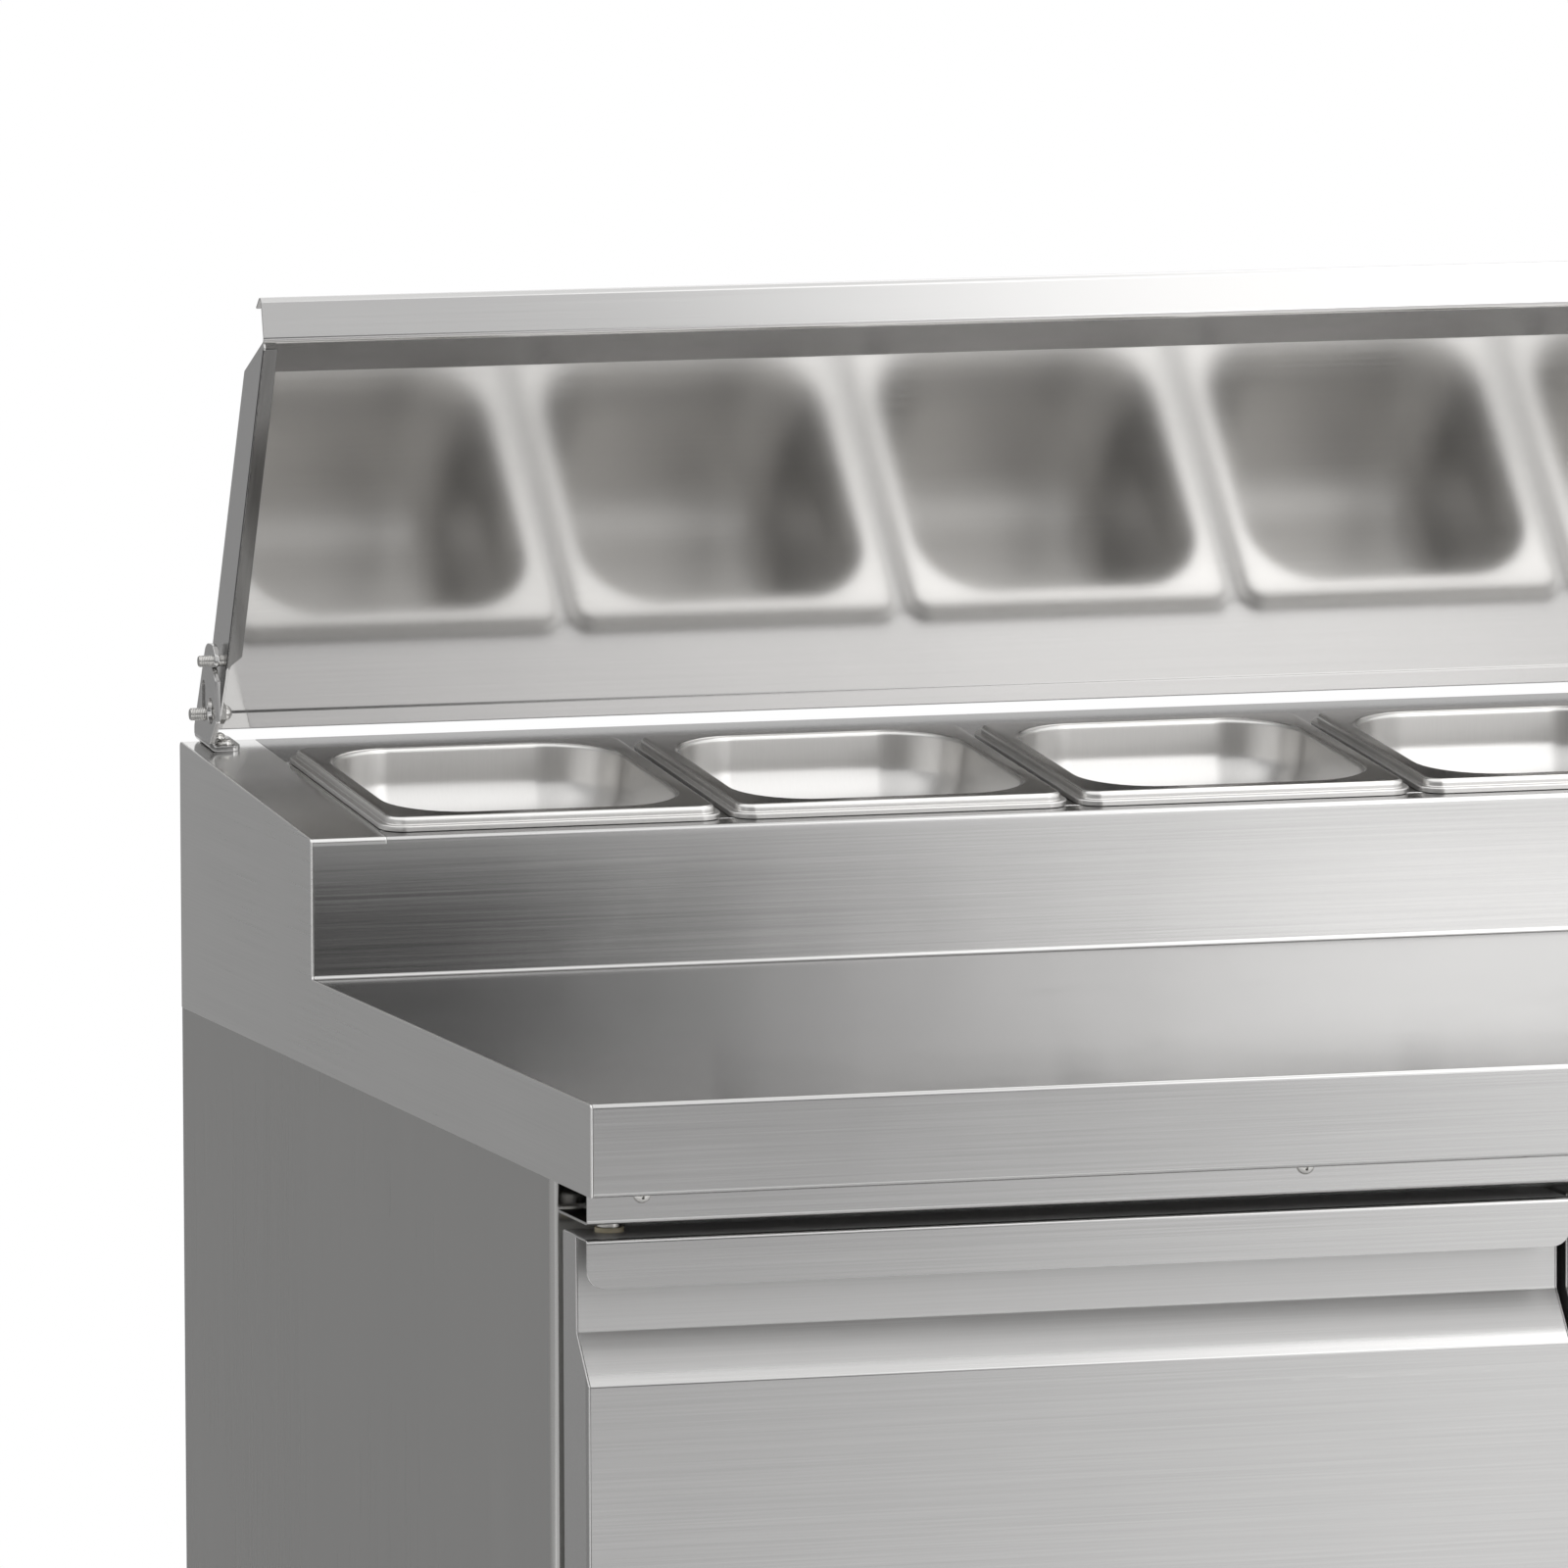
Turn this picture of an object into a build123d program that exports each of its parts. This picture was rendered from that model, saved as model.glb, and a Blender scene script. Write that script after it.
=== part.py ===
from build123d import *
import os
from math import atan2, cos, degrees, hypot, radians, sin, tan

os.makedirs("parts", exist_ok=True)

# Refrigerated sandwich prep counter. Millimetres, +X right, -Y front, +Z up.
# The origin is on the floor under the middle of the cabinet.

# Overall
overall_width = 900.0
overall_depth = 700.0
worktop_height = 850.0
sheet = 1.2
bend = 2.0
running_clearance = 0.05
seat_clearance = 0.3

# Worktop and raised pan rail
apron_height = 40.5
apron_hem = 8.0
rail_depth = 236.2
rail_front_height = 64.0
rail_tilt = 5.0
cap_strip_least = 35.0
seam_overlap = 1.0
seam_drop = 3.2
front_strip = 15.0
rear_strip_overlap = 6.5
strip_flange = 14.0
bar_width = 20.0
bar_height = 12.0
end_bar_width = 10.0

# Sixth-size gastronorm pans
pan_width = 162.0
pan_length = 176.0
pan_pitch = 166.0
pan_depth = 100.0
pan_wall = 0.8
pan_reveal = 8.7
rim_lip_width = 3.0
rim_lip_height = 2.4
rim_height = 6.0
rim_corner = 11.0
rim_inner_radius = 2.4
well_border_x = 12.0
well_border_y = 13.0
well_corner = 34.0
well_taper = 8.0
well_floor_radius = 13.0

# Lid, given in its own section: along the lid from its pivot, and out from its underside
lid_open_angle = 65.0
lid_end_gap = 12.0
lid_pivot_setback = 16.7
lid_pivot_lift = 15.85
lid_crown = 15.2
lid_rear_flange = (-3.4, -10.9)
lid_rear_flange_inset = 9.0
lid_rear_crease = (5.3, -9.7)
lid_rear_bend = 11.45
lid_rear_bend_radius = 11.0
lid_bevel_start = 175.0
lid_lip_root = (204.8, -9.4)
lid_lip_top = (220.7, 3.5)
lid_hem_end = (212.3, 7.3)
lid_rim = -11.5
lid_rim_return = 7.0
lid_rim_start = 37.0
lid_ear_radius = 8.0

# Lid hinge brackets, bolts and studs
bracket_thickness = 2.5
bracket_bend = 3.5
bracket_lid_gap = 2.5
bracket_foot_width = 15.5
bracket_foot_corner = 4.0
bracket_base = 28.0
bracket_rear_inset = 0.5
bracket_height = 34.0
bracket_shoulder = 7.0
bracket_tip_setback = 5.0
bracket_tip_width = 17.0
bracket_tip_radius = 8.0
bracket_front_drop = 2.0
bolt_radius = 3.0
bolt_end_inset = 0.5
bolt_end_chamfer = 0.5
slot_clearance = 0.25
slot_travel = 12.6
stud_along = 30.9
stud_out = -3.8
stud_radius = 2.75
stud_clearance = 0.45
stud_head_radius = 4.5
stud_head_height = 2.0
notch_sweep = 42.0
bracket_window = 6.0
bracket_window_ahead = 12.5
bracket_window_lift = 2.7
nut_radius = 5.0
nut_height = 4.0
nut_cap_radius = 3.8
nut_cap_height = 3.4
nut_cap_dome = 2.6
screw_radius = 2.0
screw_head_radius = 4.2
screw_head_height = 2.4
screw_head_dome = 1.8
bracket_screw_inset = 6.5

# Cabinet
body_setback = 65.0
side_inset = 0.4
hem_bend = 4.0
wall_thickness = 35.0
rear_wall = 50.0
foot_height = 85.0
machine_height = 177.0
mullion_width = 56.0
mullion_depth = 44.0
frame_overlap = 18.0
liner_wall = 1.0
well_setback = 11.0
well_top_drop = 9.0

# Hinge rails and pins
rail_drop = 53.7
rail_setback = 11.4
rail_flange_end = 57.0
rail_top_flange = 20.0
lower_rail_lip = 18.0
pin_radius = 4.0
pin_engagement = 9.5
pin_head_radius = 6.0
pin_head_height = 2.0
collar_radius = 5.4
bush_flange_radius = 6.4
bush_flange = 2.0
bush_radius = 6.0
bush_length = 17.0
rail_screw_from_side = 26.0
rail_screw_spacing = 300.0
rail_screw_drop = 40.7

# Doors
door_setback = 10.5
door_thickness = 39.5
door_skin = 1.0
door_side_inset = 1.5
door_gap = 4.0
door_rail_gap = 6.5
lip_height = 21.3
lip_setback = 1.7
lip_corner = 5.0
recess_depth = 19.5
recess_height = 42.0
recess_slant = 21.4
pivot_from_side = 17.5
pivot_from_front = 27.5
dish_height = 7.0
dish_border = 16.0
dish_taper = 30.0
gasket_width = 12.0
gasket_inset = 7.0
gasket_from_pivot = 0.5
gasket_base = 4.0
gasket_neck = 6.0
gasket_neck_inset = 2.5
gasket_gap = 0.4

# Shelves and their rails
shelf_level = 190.0
shelf_depth = 435.0
shelf_side_gap = 4.0
shelf_middle_gap = 5.0
shelf_rod = 6.0
shelf_wire = 3.0
shelf_wire_sink = 0.6
shelf_wire_count = 12
shelf_rail_sheet = 1.5
shelf_rail_width = 17.0
shelf_rail_height = 14.0
centre_rail_width = 40.0

# Cold side: coil, housing and fan on the rear wall
coil_width = 300.0
coil_height = 150.0
coil_depth = 42.0
coil_fins = 20
coil_fin = 3.0
coil_plate = 8.0
housing_level = 250.0
housing_depth = 100.0
housing_margin = 16.0
fan_radius = 62.0
fan_tip_gap = 4.0
fan_front_gap = 5.0
fan_hub_radius = 18.0
fan_hub_length = 20.0
fan_blades = 5
fan_blade = 2.0
fan_chord = 26.0
fan_blade_root = 14.0
fan_blade_angle = 28.0
motor_gap = 2.0
motor_radius = 26.0
motor_length = 24.0
motor_strap = 3.0
motor_strap_width = 40.0
shaft_radius = 3.0

# Machine compartment
panel_gap = 3.0
panel_lift = 12.0
panel_side_gap = 3.0
louvre_count = 7
louvre_length = 170.0
louvre_pitch = 14.0
louvre_opening = 5.0
louvre_depth = 5.0
louvre_from_side = 210.0
condenser_width = 190.0
condenser_height = 148.0
condenser_depth = 44.0
condenser_from_side = 220.0
condenser_front_gap = 14.0
condenser_fins = 16
condenser_fin = 3.0
condenser_plate = 8.0
shroud_depth = 14.0
compressor_from_side = 280.0
compressor_y = 130.0
compressor_radius = 72.0
compressor_height = 148.0
compressor_crown = 36.0
compressor_plate = 6.0
compressor_plate_width = 180.0
compressor_plate_depth = 120.0
stub_radius = 5.0
stub_length = 8.0
terminal_box = 46.0
drip_tray_length = 180.0
drip_tray_width = 130.0
drip_tray_height = 30.0
pipe_radius = 4.0
pipe_bend = 22.0
pipe_clearance = 0.3
pipe_lane_x = -60.0
riser_from_side = 150.0
riser_setback = 25.0
vent_rows = 6
vent_columns = 5
vent_pitch_x = 90.0
vent_pitch = 16.0
vent_length = 60.0
vent_width = 6.0
gland_from_side = 90.0
gland_level = 55.0
gland_radius = 7.0
gland_bore = 4.5
gland_flange_radius = 11.0
gland_flange = 4.0
gland_length = 20.0
tray_edge = 18.0

# Controls on the machine panel
bezel_width = 128.0
bezel_height = 42.0
bezel_corner = 4.0
bezel_depth = 3.0
bezel_edge = 1.0
case_width = 118.0
case_height = 34.0
case_depth = 45.0
cutout_gap = 0.5
window_width = 36.0
window_height = 20.0
window_depth = 1.6
window_x = -12.0
key_count = 3
key_first_x = 20.0
key_pitch = 13.5
key_width = 10.0
key_height = 8.0
key_proud = 1.4
key_depth = 2.2
key_travel = 0.8
key_gap = 0.2
switch_x = -46.0
switch_width = 13.0
switch_half = 8.2
switch_pivot_depth = 3.0
switch_tilt = 7.0
switch_crown = 2.6
switch_hollow = 1.2
switch_belly = 2.5
switch_side_inset = 0.8
switch_belly_inset = 5.0
switch_pin = 1.25
switch_pin_length = 1.2
switch_pocket_gap = 0.3
switch_pocket_half = 10.0
switch_pocket_depth = 9.0

# Adjustable feet
foot_inset_x = 62.0
foot_inset_y = 60.0
foot_pad_radius = 24.0
foot_pad_height = 10.0
foot_cone_height = 22.0
foot_neck_radius = 14.0
foot_stem_radius = 6.0
foot_socket_radius = 15.0
foot_socket_height = 30.0

# Derived places
half_width = overall_width / 2
lid_half = half_width - lid_end_gap
gland_x = half_width - gland_from_side
riser_x = half_width - riser_from_side
compressor_x = half_width - compressor_from_side
condenser_x = condenser_from_side - half_width
louvre_x = half_width - louvre_from_side
front_y = -overall_depth / 2
rear_y = overall_depth / 2
apron_bottom = worktop_height - apron_height
deck_under = worktop_height - sheet
inner_half = half_width - sheet
rail_front_y = rear_y - rail_depth
rail_front_z = worktop_height + rail_front_height
rail_slope = tan(radians(rail_tilt))
rail_rear_z = rail_front_z + rail_depth * rail_slope
rail_length = rail_depth / cos(radians(rail_tilt))
rail_along = Vector(0, cos(radians(rail_tilt)), sin(radians(rail_tilt)))
rail_up = Vector(0, -sin(radians(rail_tilt)), cos(radians(rail_tilt)))
rail_origin = Vector(0, rail_front_y, rail_front_z)
pan_count = int((overall_width - 2 * cap_strip_least) // pan_pitch)
pan_row = pan_count * pan_pitch
seam_x = pan_row / 2 - seam_overlap
rear_strip_front = pan_reveal + pan_length - rear_strip_overlap

body_front = front_y + body_setback
frame_back = body_front + sheet
side_outer = half_width - side_inset
side_inner = side_outer - sheet
back_inner = rear_y - sheet
upper_rail_z = worktop_height - rail_drop
lower_rail_z = foot_height + machine_height
rail_front = front_y + rail_setback
door_top = upper_rail_z - door_rail_gap
door_bottom = lower_rail_z + door_rail_gap
door_front = front_y + door_setback
door_rear = door_front + door_thickness
frame_top = door_top - gasket_inset - frame_overlap
frame_bottom = door_bottom + gasket_inset + frame_overlap
liner_half = half_width - wall_thickness
frame_half = liner_half + liner_wall
liner_back = rear_y - rear_wall
well_front = rail_front_y + well_setback
well_top = rail_front_z - well_top_drop
floor_top = lower_rail_z + sheet
base_top = foot_height + sheet
tray_width = 2 * side_inner
tray_depth = back_inner - frame_back
tray_y = (back_inner + frame_back) / 2
pivot_x = half_width - door_side_inset - pivot_from_side
pivot_y = door_front + pivot_from_front
upright = (Align.CENTER, Align.CENTER, Align.MIN)


def rail_point(x, along, up):
    # A place on the tilted pan rail: along it from its front edge, and up from its surface
    return Vector(x, 0, 0) + rail_origin + rail_along * along + rail_up * up


def section_point(along, up):
    # The same place in the side section, as Y and Z
    place = rail_point(0, along, up)
    return (place.Y, place.Z)


def rail_height(y):
    return rail_front_z + (y - rail_front_y) * rail_slope


def save(piece, name):
    piece.part.label = name
    export_step(piece.part, f"parts/{name}.step")


def save_mirrored(piece, name):
    with BuildPart() as twin:
        mirror(piece.part, about=Plane.YZ)
    save(twin, name)


def fold(points, radius, thickness):
    # A bent sheet's section: the outer line of its bends, with the wall on the line's right
    with BuildLine() as section:
        FilletPolyline(*points, radius=radius)
        offset(amount=thickness, side=Side.RIGHT)
    make_face(section.edges())


def block(x_span, y_span, z_span, mode=Mode.ADD):
    with Locations([(sum(x_span) / 2, sum(y_span) / 2, sum(z_span) / 2)]):
        Box(x_span[1] - x_span[0], y_span[1] - y_span[0], z_span[1] - z_span[0], mode=mode)


def rod(start, direction, radius, length, mode=Mode.ADD):
    with Locations(Plane(start, z_dir=direction)):
        Cylinder(radius, length, align=upright, mode=mode)


def domed(start, direction, radius, height, dome):
    # A screw or nut head with a rounded crown
    with BuildPart(Plane(start, z_dir=direction), mode=Mode.PRIVATE) as head:
        Cylinder(radius, height, align=upright)
        fillet(head.faces().sort_by(Axis(start, direction))[-1].edges(), dome)
    add(head.part)


def pipe_run(points, radius, mode=Mode.ADD):
    with BuildLine(mode=Mode.PRIVATE) as run:
        FilletPolyline(*points, radius=pipe_bend)
    with BuildSketch(Plane(points[0], z_dir=Vector(*points[1]) - Vector(*points[0]))) as bore:
        Circle(radius)
    sweep(bore.sketch, path=run.wires()[0], mode=mode)


# Worktop: apron, deck, riser and the strip in front of the pans, folded from one sheet
cap_cover = half_width - seam_x
with BuildPart() as worktop:
    with BuildSketch(Plane.YZ):
        fold(
            [
                (front_y + apron_hem, apron_bottom),
                (front_y, apron_bottom),
                (front_y, worktop_height),
                (rail_front_y, worktop_height),
                (rail_front_y, rail_front_z),
                section_point(front_strip, 0),
                section_point(front_strip, -strip_flange),
            ],
            bend,
            sheet,
        )
    extrude(amount=inner_half, both=True)
    strip_span = (rail_front_y - sheet, rail_front_y + 2 * front_strip)
    flange_span = (rail_front_y + sheet, rail_front_y + 2 * front_strip)
    cap_z = rail_front_z - seam_drop
    for cap_span in ((-half_width, -seam_x), (seam_x, half_width)):
        block(cap_span, strip_span, (cap_z, cap_z + strip_flange), Mode.SUBTRACT)
        block(cap_span, flange_span, (cap_z - strip_flange, cap_z + sheet), Mode.SUBTRACT)
save(worktop, "worktop")

# Bracket screws, placed here because the end caps carry their holes
bracket_rear = rear_y - bracket_rear_inset
bracket_front = bracket_rear - bracket_base
foot_start = (bracket_front - rail_front_y) / cos(radians(rail_tilt))
foot_end = (bracket_rear - rail_front_y) / cos(radians(rail_tilt))
bracket_outer = lid_half + bracket_lid_gap + bracket_thickness
bracket_inner = bracket_outer - bracket_foot_width
bracket_screw_x = (bracket_outer - bracket_thickness + bracket_inner) / 2
bracket_screws = (foot_start + bracket_screw_inset, foot_end - bracket_screw_inset)

# End caps: the cheek that closes the end of the worktop and rail, with the slanted cap strip
with BuildPart() as left_end_cap:
    with BuildSketch(Plane.YZ.offset(-half_width)):
        with BuildLine():
            FilletPolyline(
                (front_y, apron_bottom),
                (front_y, worktop_height),
                (rail_front_y, worktop_height),
                (rail_front_y, rail_front_z),
                (rear_y, rail_rear_z),
                (rear_y, apron_bottom),
                radius=bend,
            )
            Line((rear_y, apron_bottom), (front_y, apron_bottom))
        make_face()
    extrude(amount=sheet)
    with BuildSketch(Plane.YZ.offset(-inner_half)):
        fold(
            [
                (rail_front_y, rail_front_z - seam_drop),
                (rail_front_y, rail_front_z),
                (rear_y, rail_rear_z),
                (rear_y, rail_rear_z - seam_drop),
            ],
            bend,
            sheet,
        )
    extrude(amount=inner_half - seam_x)
    for screw_along in bracket_screws:
        screw_hole = rail_point(-bracket_screw_x, screw_along, -2 * sheet)
        rod(screw_hole, rail_up, screw_radius, 4 * sheet, Mode.SUBTRACT)
save(left_end_cap, "left_end_cap")
save_mirrored(left_end_cap, "right_end_cap")

# Rear rail: the strip behind the pans, folded down into the rear skirt
with BuildPart() as rear_rail:
    with BuildSketch(Plane.YZ):
        fold(
            [
                section_point(rear_strip_front, -strip_flange),
                section_point(rear_strip_front, 0),
                (rear_y, rail_rear_z),
                (rear_y, apron_bottom),
            ],
            bend,
            sheet,
        )
    extrude(amount=inner_half, both=True)
    cap_z = rail_rear_z - seam_drop
    for cap_span in ((-half_width, -seam_x), (seam_x, half_width)):
        block(cap_span, (rail_front_y, rear_y), (cap_z, cap_z + strip_flange), Mode.SUBTRACT)
        block(cap_span, (rail_front_y, back_inner), (cap_z - 2 * strip_flange, cap_z + sheet), Mode.SUBTRACT)
save(rear_rail, "rear_rail")

# Pan support bars: channels between the two strips, one in each gap and one at each end
bar_run = rear_strip_front - front_strip
bars = [(number * pan_pitch - pan_row / 2, bar_width) for number in range(1, pan_count)]
bars += [(seam_x - end_bar_width / 2, end_bar_width), (end_bar_width / 2 - seam_x, end_bar_width)]
with BuildPart() as pan_support_bars:
    with BuildSketch(Plane(rail_point(0, front_strip, 0), x_dir=(1, 0, 0), z_dir=-rail_along)):
        for bar_x, width in bars:
            fold(
                [
                    (bar_x - width / 2, -bar_height),
                    (bar_x - width / 2, 0),
                    (bar_x + width / 2, 0),
                    (bar_x + width / 2, -bar_height),
                ],
                bend,
                sheet,
            )
    extrude(amount=-bar_run)
save(pan_support_bars, "pan_support_bars")

# Pans: a drawn well with large corners under a stepped rim, hollow below the rim as pressed sheet is
well_width = pan_width - 2 * well_border_x
well_length = pan_length - 2 * well_border_y
step_width = pan_width - 2 * rim_lip_width
step_length = pan_length - 2 * rim_lip_width
well_angle = degrees(atan2(well_taper, pan_depth))
rim_backing = 2 * (rim_inner_radius + pan_wall)
for number in range(pan_count):
    pan_x = (number + 0.5) * pan_pitch - pan_row / 2
    seat = rail_point(pan_x, pan_reveal + pan_length / 2, seat_clearance)
    pan_seat = Plane(seat, x_dir=(1, 0, 0), z_dir=rail_up)
    pan_mouth = Plane(seat + rail_up * rim_height, x_dir=(1, 0, 0), z_dir=-rail_up)
    upward = Axis(seat, rail_up)
    with BuildPart() as pan:
        with BuildSketch(pan_seat):
            RectangleRounded(pan_width, pan_length, rim_corner)
            RectangleRounded(
                pan_width - 2 * pan_wall, pan_length - 2 * pan_wall, rim_corner - pan_wall, mode=Mode.SUBTRACT
            )
        extrude(amount=rim_lip_height)
        with BuildSketch(pan_seat.offset(rim_lip_height - pan_wall)):
            RectangleRounded(pan_width, pan_length, rim_corner)
            RectangleRounded(
                step_width - 2 * pan_wall, step_length - 2 * pan_wall, rim_corner - pan_wall, mode=Mode.SUBTRACT
            )
        extrude(amount=pan_wall)
        with BuildSketch(pan_seat.offset(rim_lip_height)):
            RectangleRounded(step_width, step_length, rim_corner)
        extrude(amount=rim_height - rim_lip_height)
        fillet(pan.faces().sort_by(upward)[-1].edges(), rim_lip_height)
        with BuildSketch(pan_seat.offset(rim_lip_height)):
            RectangleRounded(step_width - 2 * pan_wall, step_length - 2 * pan_wall, rim_corner - pan_wall)
        extrude(amount=rim_height - rim_lip_height - pan_wall, mode=Mode.SUBTRACT)
        with BuildSketch(pan_seat.offset(rim_lip_height)):
            RectangleRounded(well_width + rim_backing, well_length + rim_backing, well_corner)
        extrude(amount=rim_height - rim_lip_height)
        for shrink, join in ((0, Mode.ADD), (pan_wall, Mode.SUBTRACT)):
            with BuildPart(mode=Mode.PRIVATE) as well:
                with BuildSketch(pan_mouth):
                    RectangleRounded(well_width - 2 * shrink, well_length - 2 * shrink, well_corner - shrink)
                extrude(amount=pan_depth - shrink, taper=well_angle)
                fillet(well.faces().sort_by(upward)[0].edges(), well_floor_radius - shrink)
            add(well.part, mode=join)
        fillet(pan.faces().sort_by(upward)[-1].inner_wires()[0].edges(), rim_inner_radius)
    save(pan, f"pan_{number + 1}")

# Lid: one folded sheet with a bevelled front, an upturned handle lip and side flanges with returns
lid_angle = radians(lid_open_angle)
lid_along = Vector(0, -cos(lid_angle), sin(lid_angle))
lid_out = Vector(0, sin(lid_angle), cos(lid_angle))
lid_pivot = rail_point(0, rail_length - lid_pivot_setback, lid_pivot_lift)
lid_section = Plane(lid_pivot, x_dir=lid_along, z_dir=(-1, 0, 0))
lid_rim_plane = Plane(lid_pivot + lid_out * lid_rim, x_dir=lid_along, z_dir=lid_out)
ear_x = lid_half - sheet
lid_crest = [
    (lid_rear_bend, lid_crown),
    (lid_bevel_start, lid_crown),
    lid_lip_root,
    lid_lip_top,
    lid_hem_end,
]
rim_end = lid_lip_root[0] - 3 * sheet
crest_inside = lid_crown - sheet / 2
flange_cut = lid_rear_crease[1] + sheet
with BuildPart() as lid:
    with BuildSketch(lid_section):
        fold(
            [lid_rear_flange, lid_rear_crease] + lid_crest,
            [bend, lid_rear_bend_radius] + [bend] * 3,
            sheet,
        )
    extrude(amount=lid_half, both=True)
    for side in (-1, 1):
        with BuildSketch(lid_section.offset(side * lid_half)):
            with BuildLine():
                Polyline(
                    (lid_rear_bend, flange_cut),
                    (-lid_rear_bend, flange_cut),
                    (-lid_rear_bend, 2 * lid_rim),
                    (lid_rear_bend, 2 * lid_rim),
                    close=True,
                )
            make_face()
        extrude(amount=-side * lid_rear_flange_inset, mode=Mode.SUBTRACT)
        with BuildSketch(lid_section.offset(side * (lid_half - sheet / 2))):
            with BuildLine():
                crest = FilletPolyline(
                    lid_rear_crease,
                    (lid_rear_bend, crest_inside),
                    (lid_bevel_start, crest_inside),
                    (lid_lip_root[0] - sheet, lid_lip_root[1]),
                    radius=[lid_rear_bend_radius, bend],
                )
                Polyline(
                    crest @ 1,
                    (lid_lip_root[0] - 2 * sheet, lid_rim),
                    (stud_along - stud_head_radius, lid_rim),
                    lid_rear_crease,
                )
            make_face()
            with BuildLine():
                Polyline(
                    (0, lid_ear_radius),
                    (lid_rear_bend, lid_ear_radius),
                    (lid_rear_bend, lid_rear_crease[1]),
                    (0, -lid_ear_radius),
                    close=True,
                )
            make_face()
            Circle(lid_ear_radius)
            Circle(bolt_radius, mode=Mode.SUBTRACT)
            with Locations((stud_along, stud_out)):
                Circle(stud_radius, mode=Mode.SUBTRACT)
        extrude(amount=sheet / 2, both=True)
        with BuildSketch(lid_rim_plane):
            with BuildLine():
                Polyline(
                    (lid_rim_start - lid_rim_return, side * lid_half),
                    (lid_rim_start, side * (lid_half - lid_rim_return)),
                    (rim_end, side * (lid_half - lid_rim_return)),
                    (rim_end, side * lid_half),
                    close=True,
                )
            make_face()
        extrude(amount=sheet)
save(lid, "lid")

# Lid bolts: two pivot bolts with cap nuts and two stop studs, all carried by the lid
stud_place = lid_pivot + lid_along * stud_along + lid_out * stud_out
spacer_length = bracket_lid_gap - seat_clearance
bolt_length = half_width - bolt_end_inset - ear_x


def bolt_shank(start, direction, radius):
    # A plain shank with a chamfered end
    with BuildPart(Plane(start, z_dir=direction), mode=Mode.PRIVATE) as shank:
        Cylinder(radius, bolt_length, align=upright)
        chamfer(shank.faces().sort_by(Axis(start, direction))[-1].edges(), bolt_end_chamfer)
    add(shank.part)


with BuildPart() as lid_bolts:
    for side in (-1, 1):
        inward = Vector(-side, 0, 0)
        outward = Vector(side, 0, 0)
        nut_face = lid_pivot + outward * ear_x
        bolt_shank(nut_face, outward, bolt_radius)
        rod(lid_pivot + outward * lid_half, outward, nut_radius, spacer_length)
        with BuildSketch(Plane(nut_face, x_dir=lid_along, z_dir=inward)):
            RegularPolygon(nut_radius, 6)
        extrude(amount=nut_height)
        domed(nut_face + inward * nut_height, inward, nut_cap_radius, nut_cap_height, nut_cap_dome)
        stud_inside = stud_place + outward * ear_x
        bolt_shank(stud_inside, outward, stud_radius)
        rod(stud_inside, inward, stud_head_radius, stud_head_height)
save(lid_bolts, "lid_bolts")

# Lid hinge brackets: a plate bent up from its foot on each end cap, with the bolt slot and the notch
# that holds the lid open
tip_rear = lid_pivot.Y - bracket_tip_setback
tip_front = tip_rear - bracket_tip_width
tip_top = lid_pivot.Z + bracket_height
slot_half = bolt_radius + slot_clearance
stud_reach = hypot(stud_along, stud_out)
stud_angle = degrees(atan2(stud_place.Z - lid_pivot.Z, stud_place.Y - lid_pivot.Y))
plate_start = rail_height(bracket_front) + bracket_bend
plate_rear_start = rail_height(bracket_rear) + bracket_bend
foot_plane = Plane(rail_point(0, foot_start, 0), x_dir=(1, 0, 0), z_dir=-rail_along)
with BuildPart() as left_lid_bracket:
    with BuildSketch(foot_plane):
        fold(
            [(-bracket_inner, 0), (-bracket_outer, 0), (-bracket_outer, 2 * bracket_bend)],
            bracket_bend,
            bracket_thickness,
        )
    extrude(amount=foot_start - foot_end)
    upright_edges = left_lid_bracket.edges().filter_by(Axis(rail_origin, rail_up))
    fillet(upright_edges.group_by(Axis.X)[-1], bracket_foot_corner)
    with BuildSketch(Plane.YZ.offset(-bracket_outer)):
        with BuildLine():
            FilletPolyline(
                (bracket_front, plate_start),
                (tip_front, lid_pivot.Z - bracket_front_drop),
                (tip_front, tip_top),
                (tip_rear, tip_top),
                (bracket_rear, lid_pivot.Z - bracket_shoulder),
                (bracket_rear, plate_rear_start),
                radius=[bend, bracket_tip_radius, bracket_tip_radius, 2 * bend],
            )
            Line((bracket_rear, plate_rear_start), (bracket_front, plate_start))
        make_face()
        with Locations((lid_pivot.Y, lid_pivot.Z + slot_travel / 2)):
            SlotCenterToCenter(slot_travel, 2 * slot_half, rotation=90, mode=Mode.SUBTRACT)
        with Locations((lid_pivot.Y - bracket_window_ahead, lid_pivot.Z + bracket_window_lift)):
            Circle(bracket_window, mode=Mode.SUBTRACT)
        notch = Edge.make_circle(
            stud_reach,
            Plane((lid_pivot.Y, lid_pivot.Z, 0)),
            start_angle=stud_angle,
            end_angle=stud_angle + notch_sweep,
        )
        SlotArc(notch, 2 * (stud_radius + stud_clearance), mode=Mode.SUBTRACT)
    extrude(amount=bracket_thickness)
    for screw_along in bracket_screws:
        screw_hole = rail_point(-bracket_screw_x, screw_along, -sheet)
        rod(screw_hole, rail_up, screw_radius, bracket_thickness + 2 * sheet, Mode.SUBTRACT)
save(left_lid_bracket, "left_lid_bracket")
save_mirrored(left_lid_bracket, "right_lid_bracket")

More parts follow.
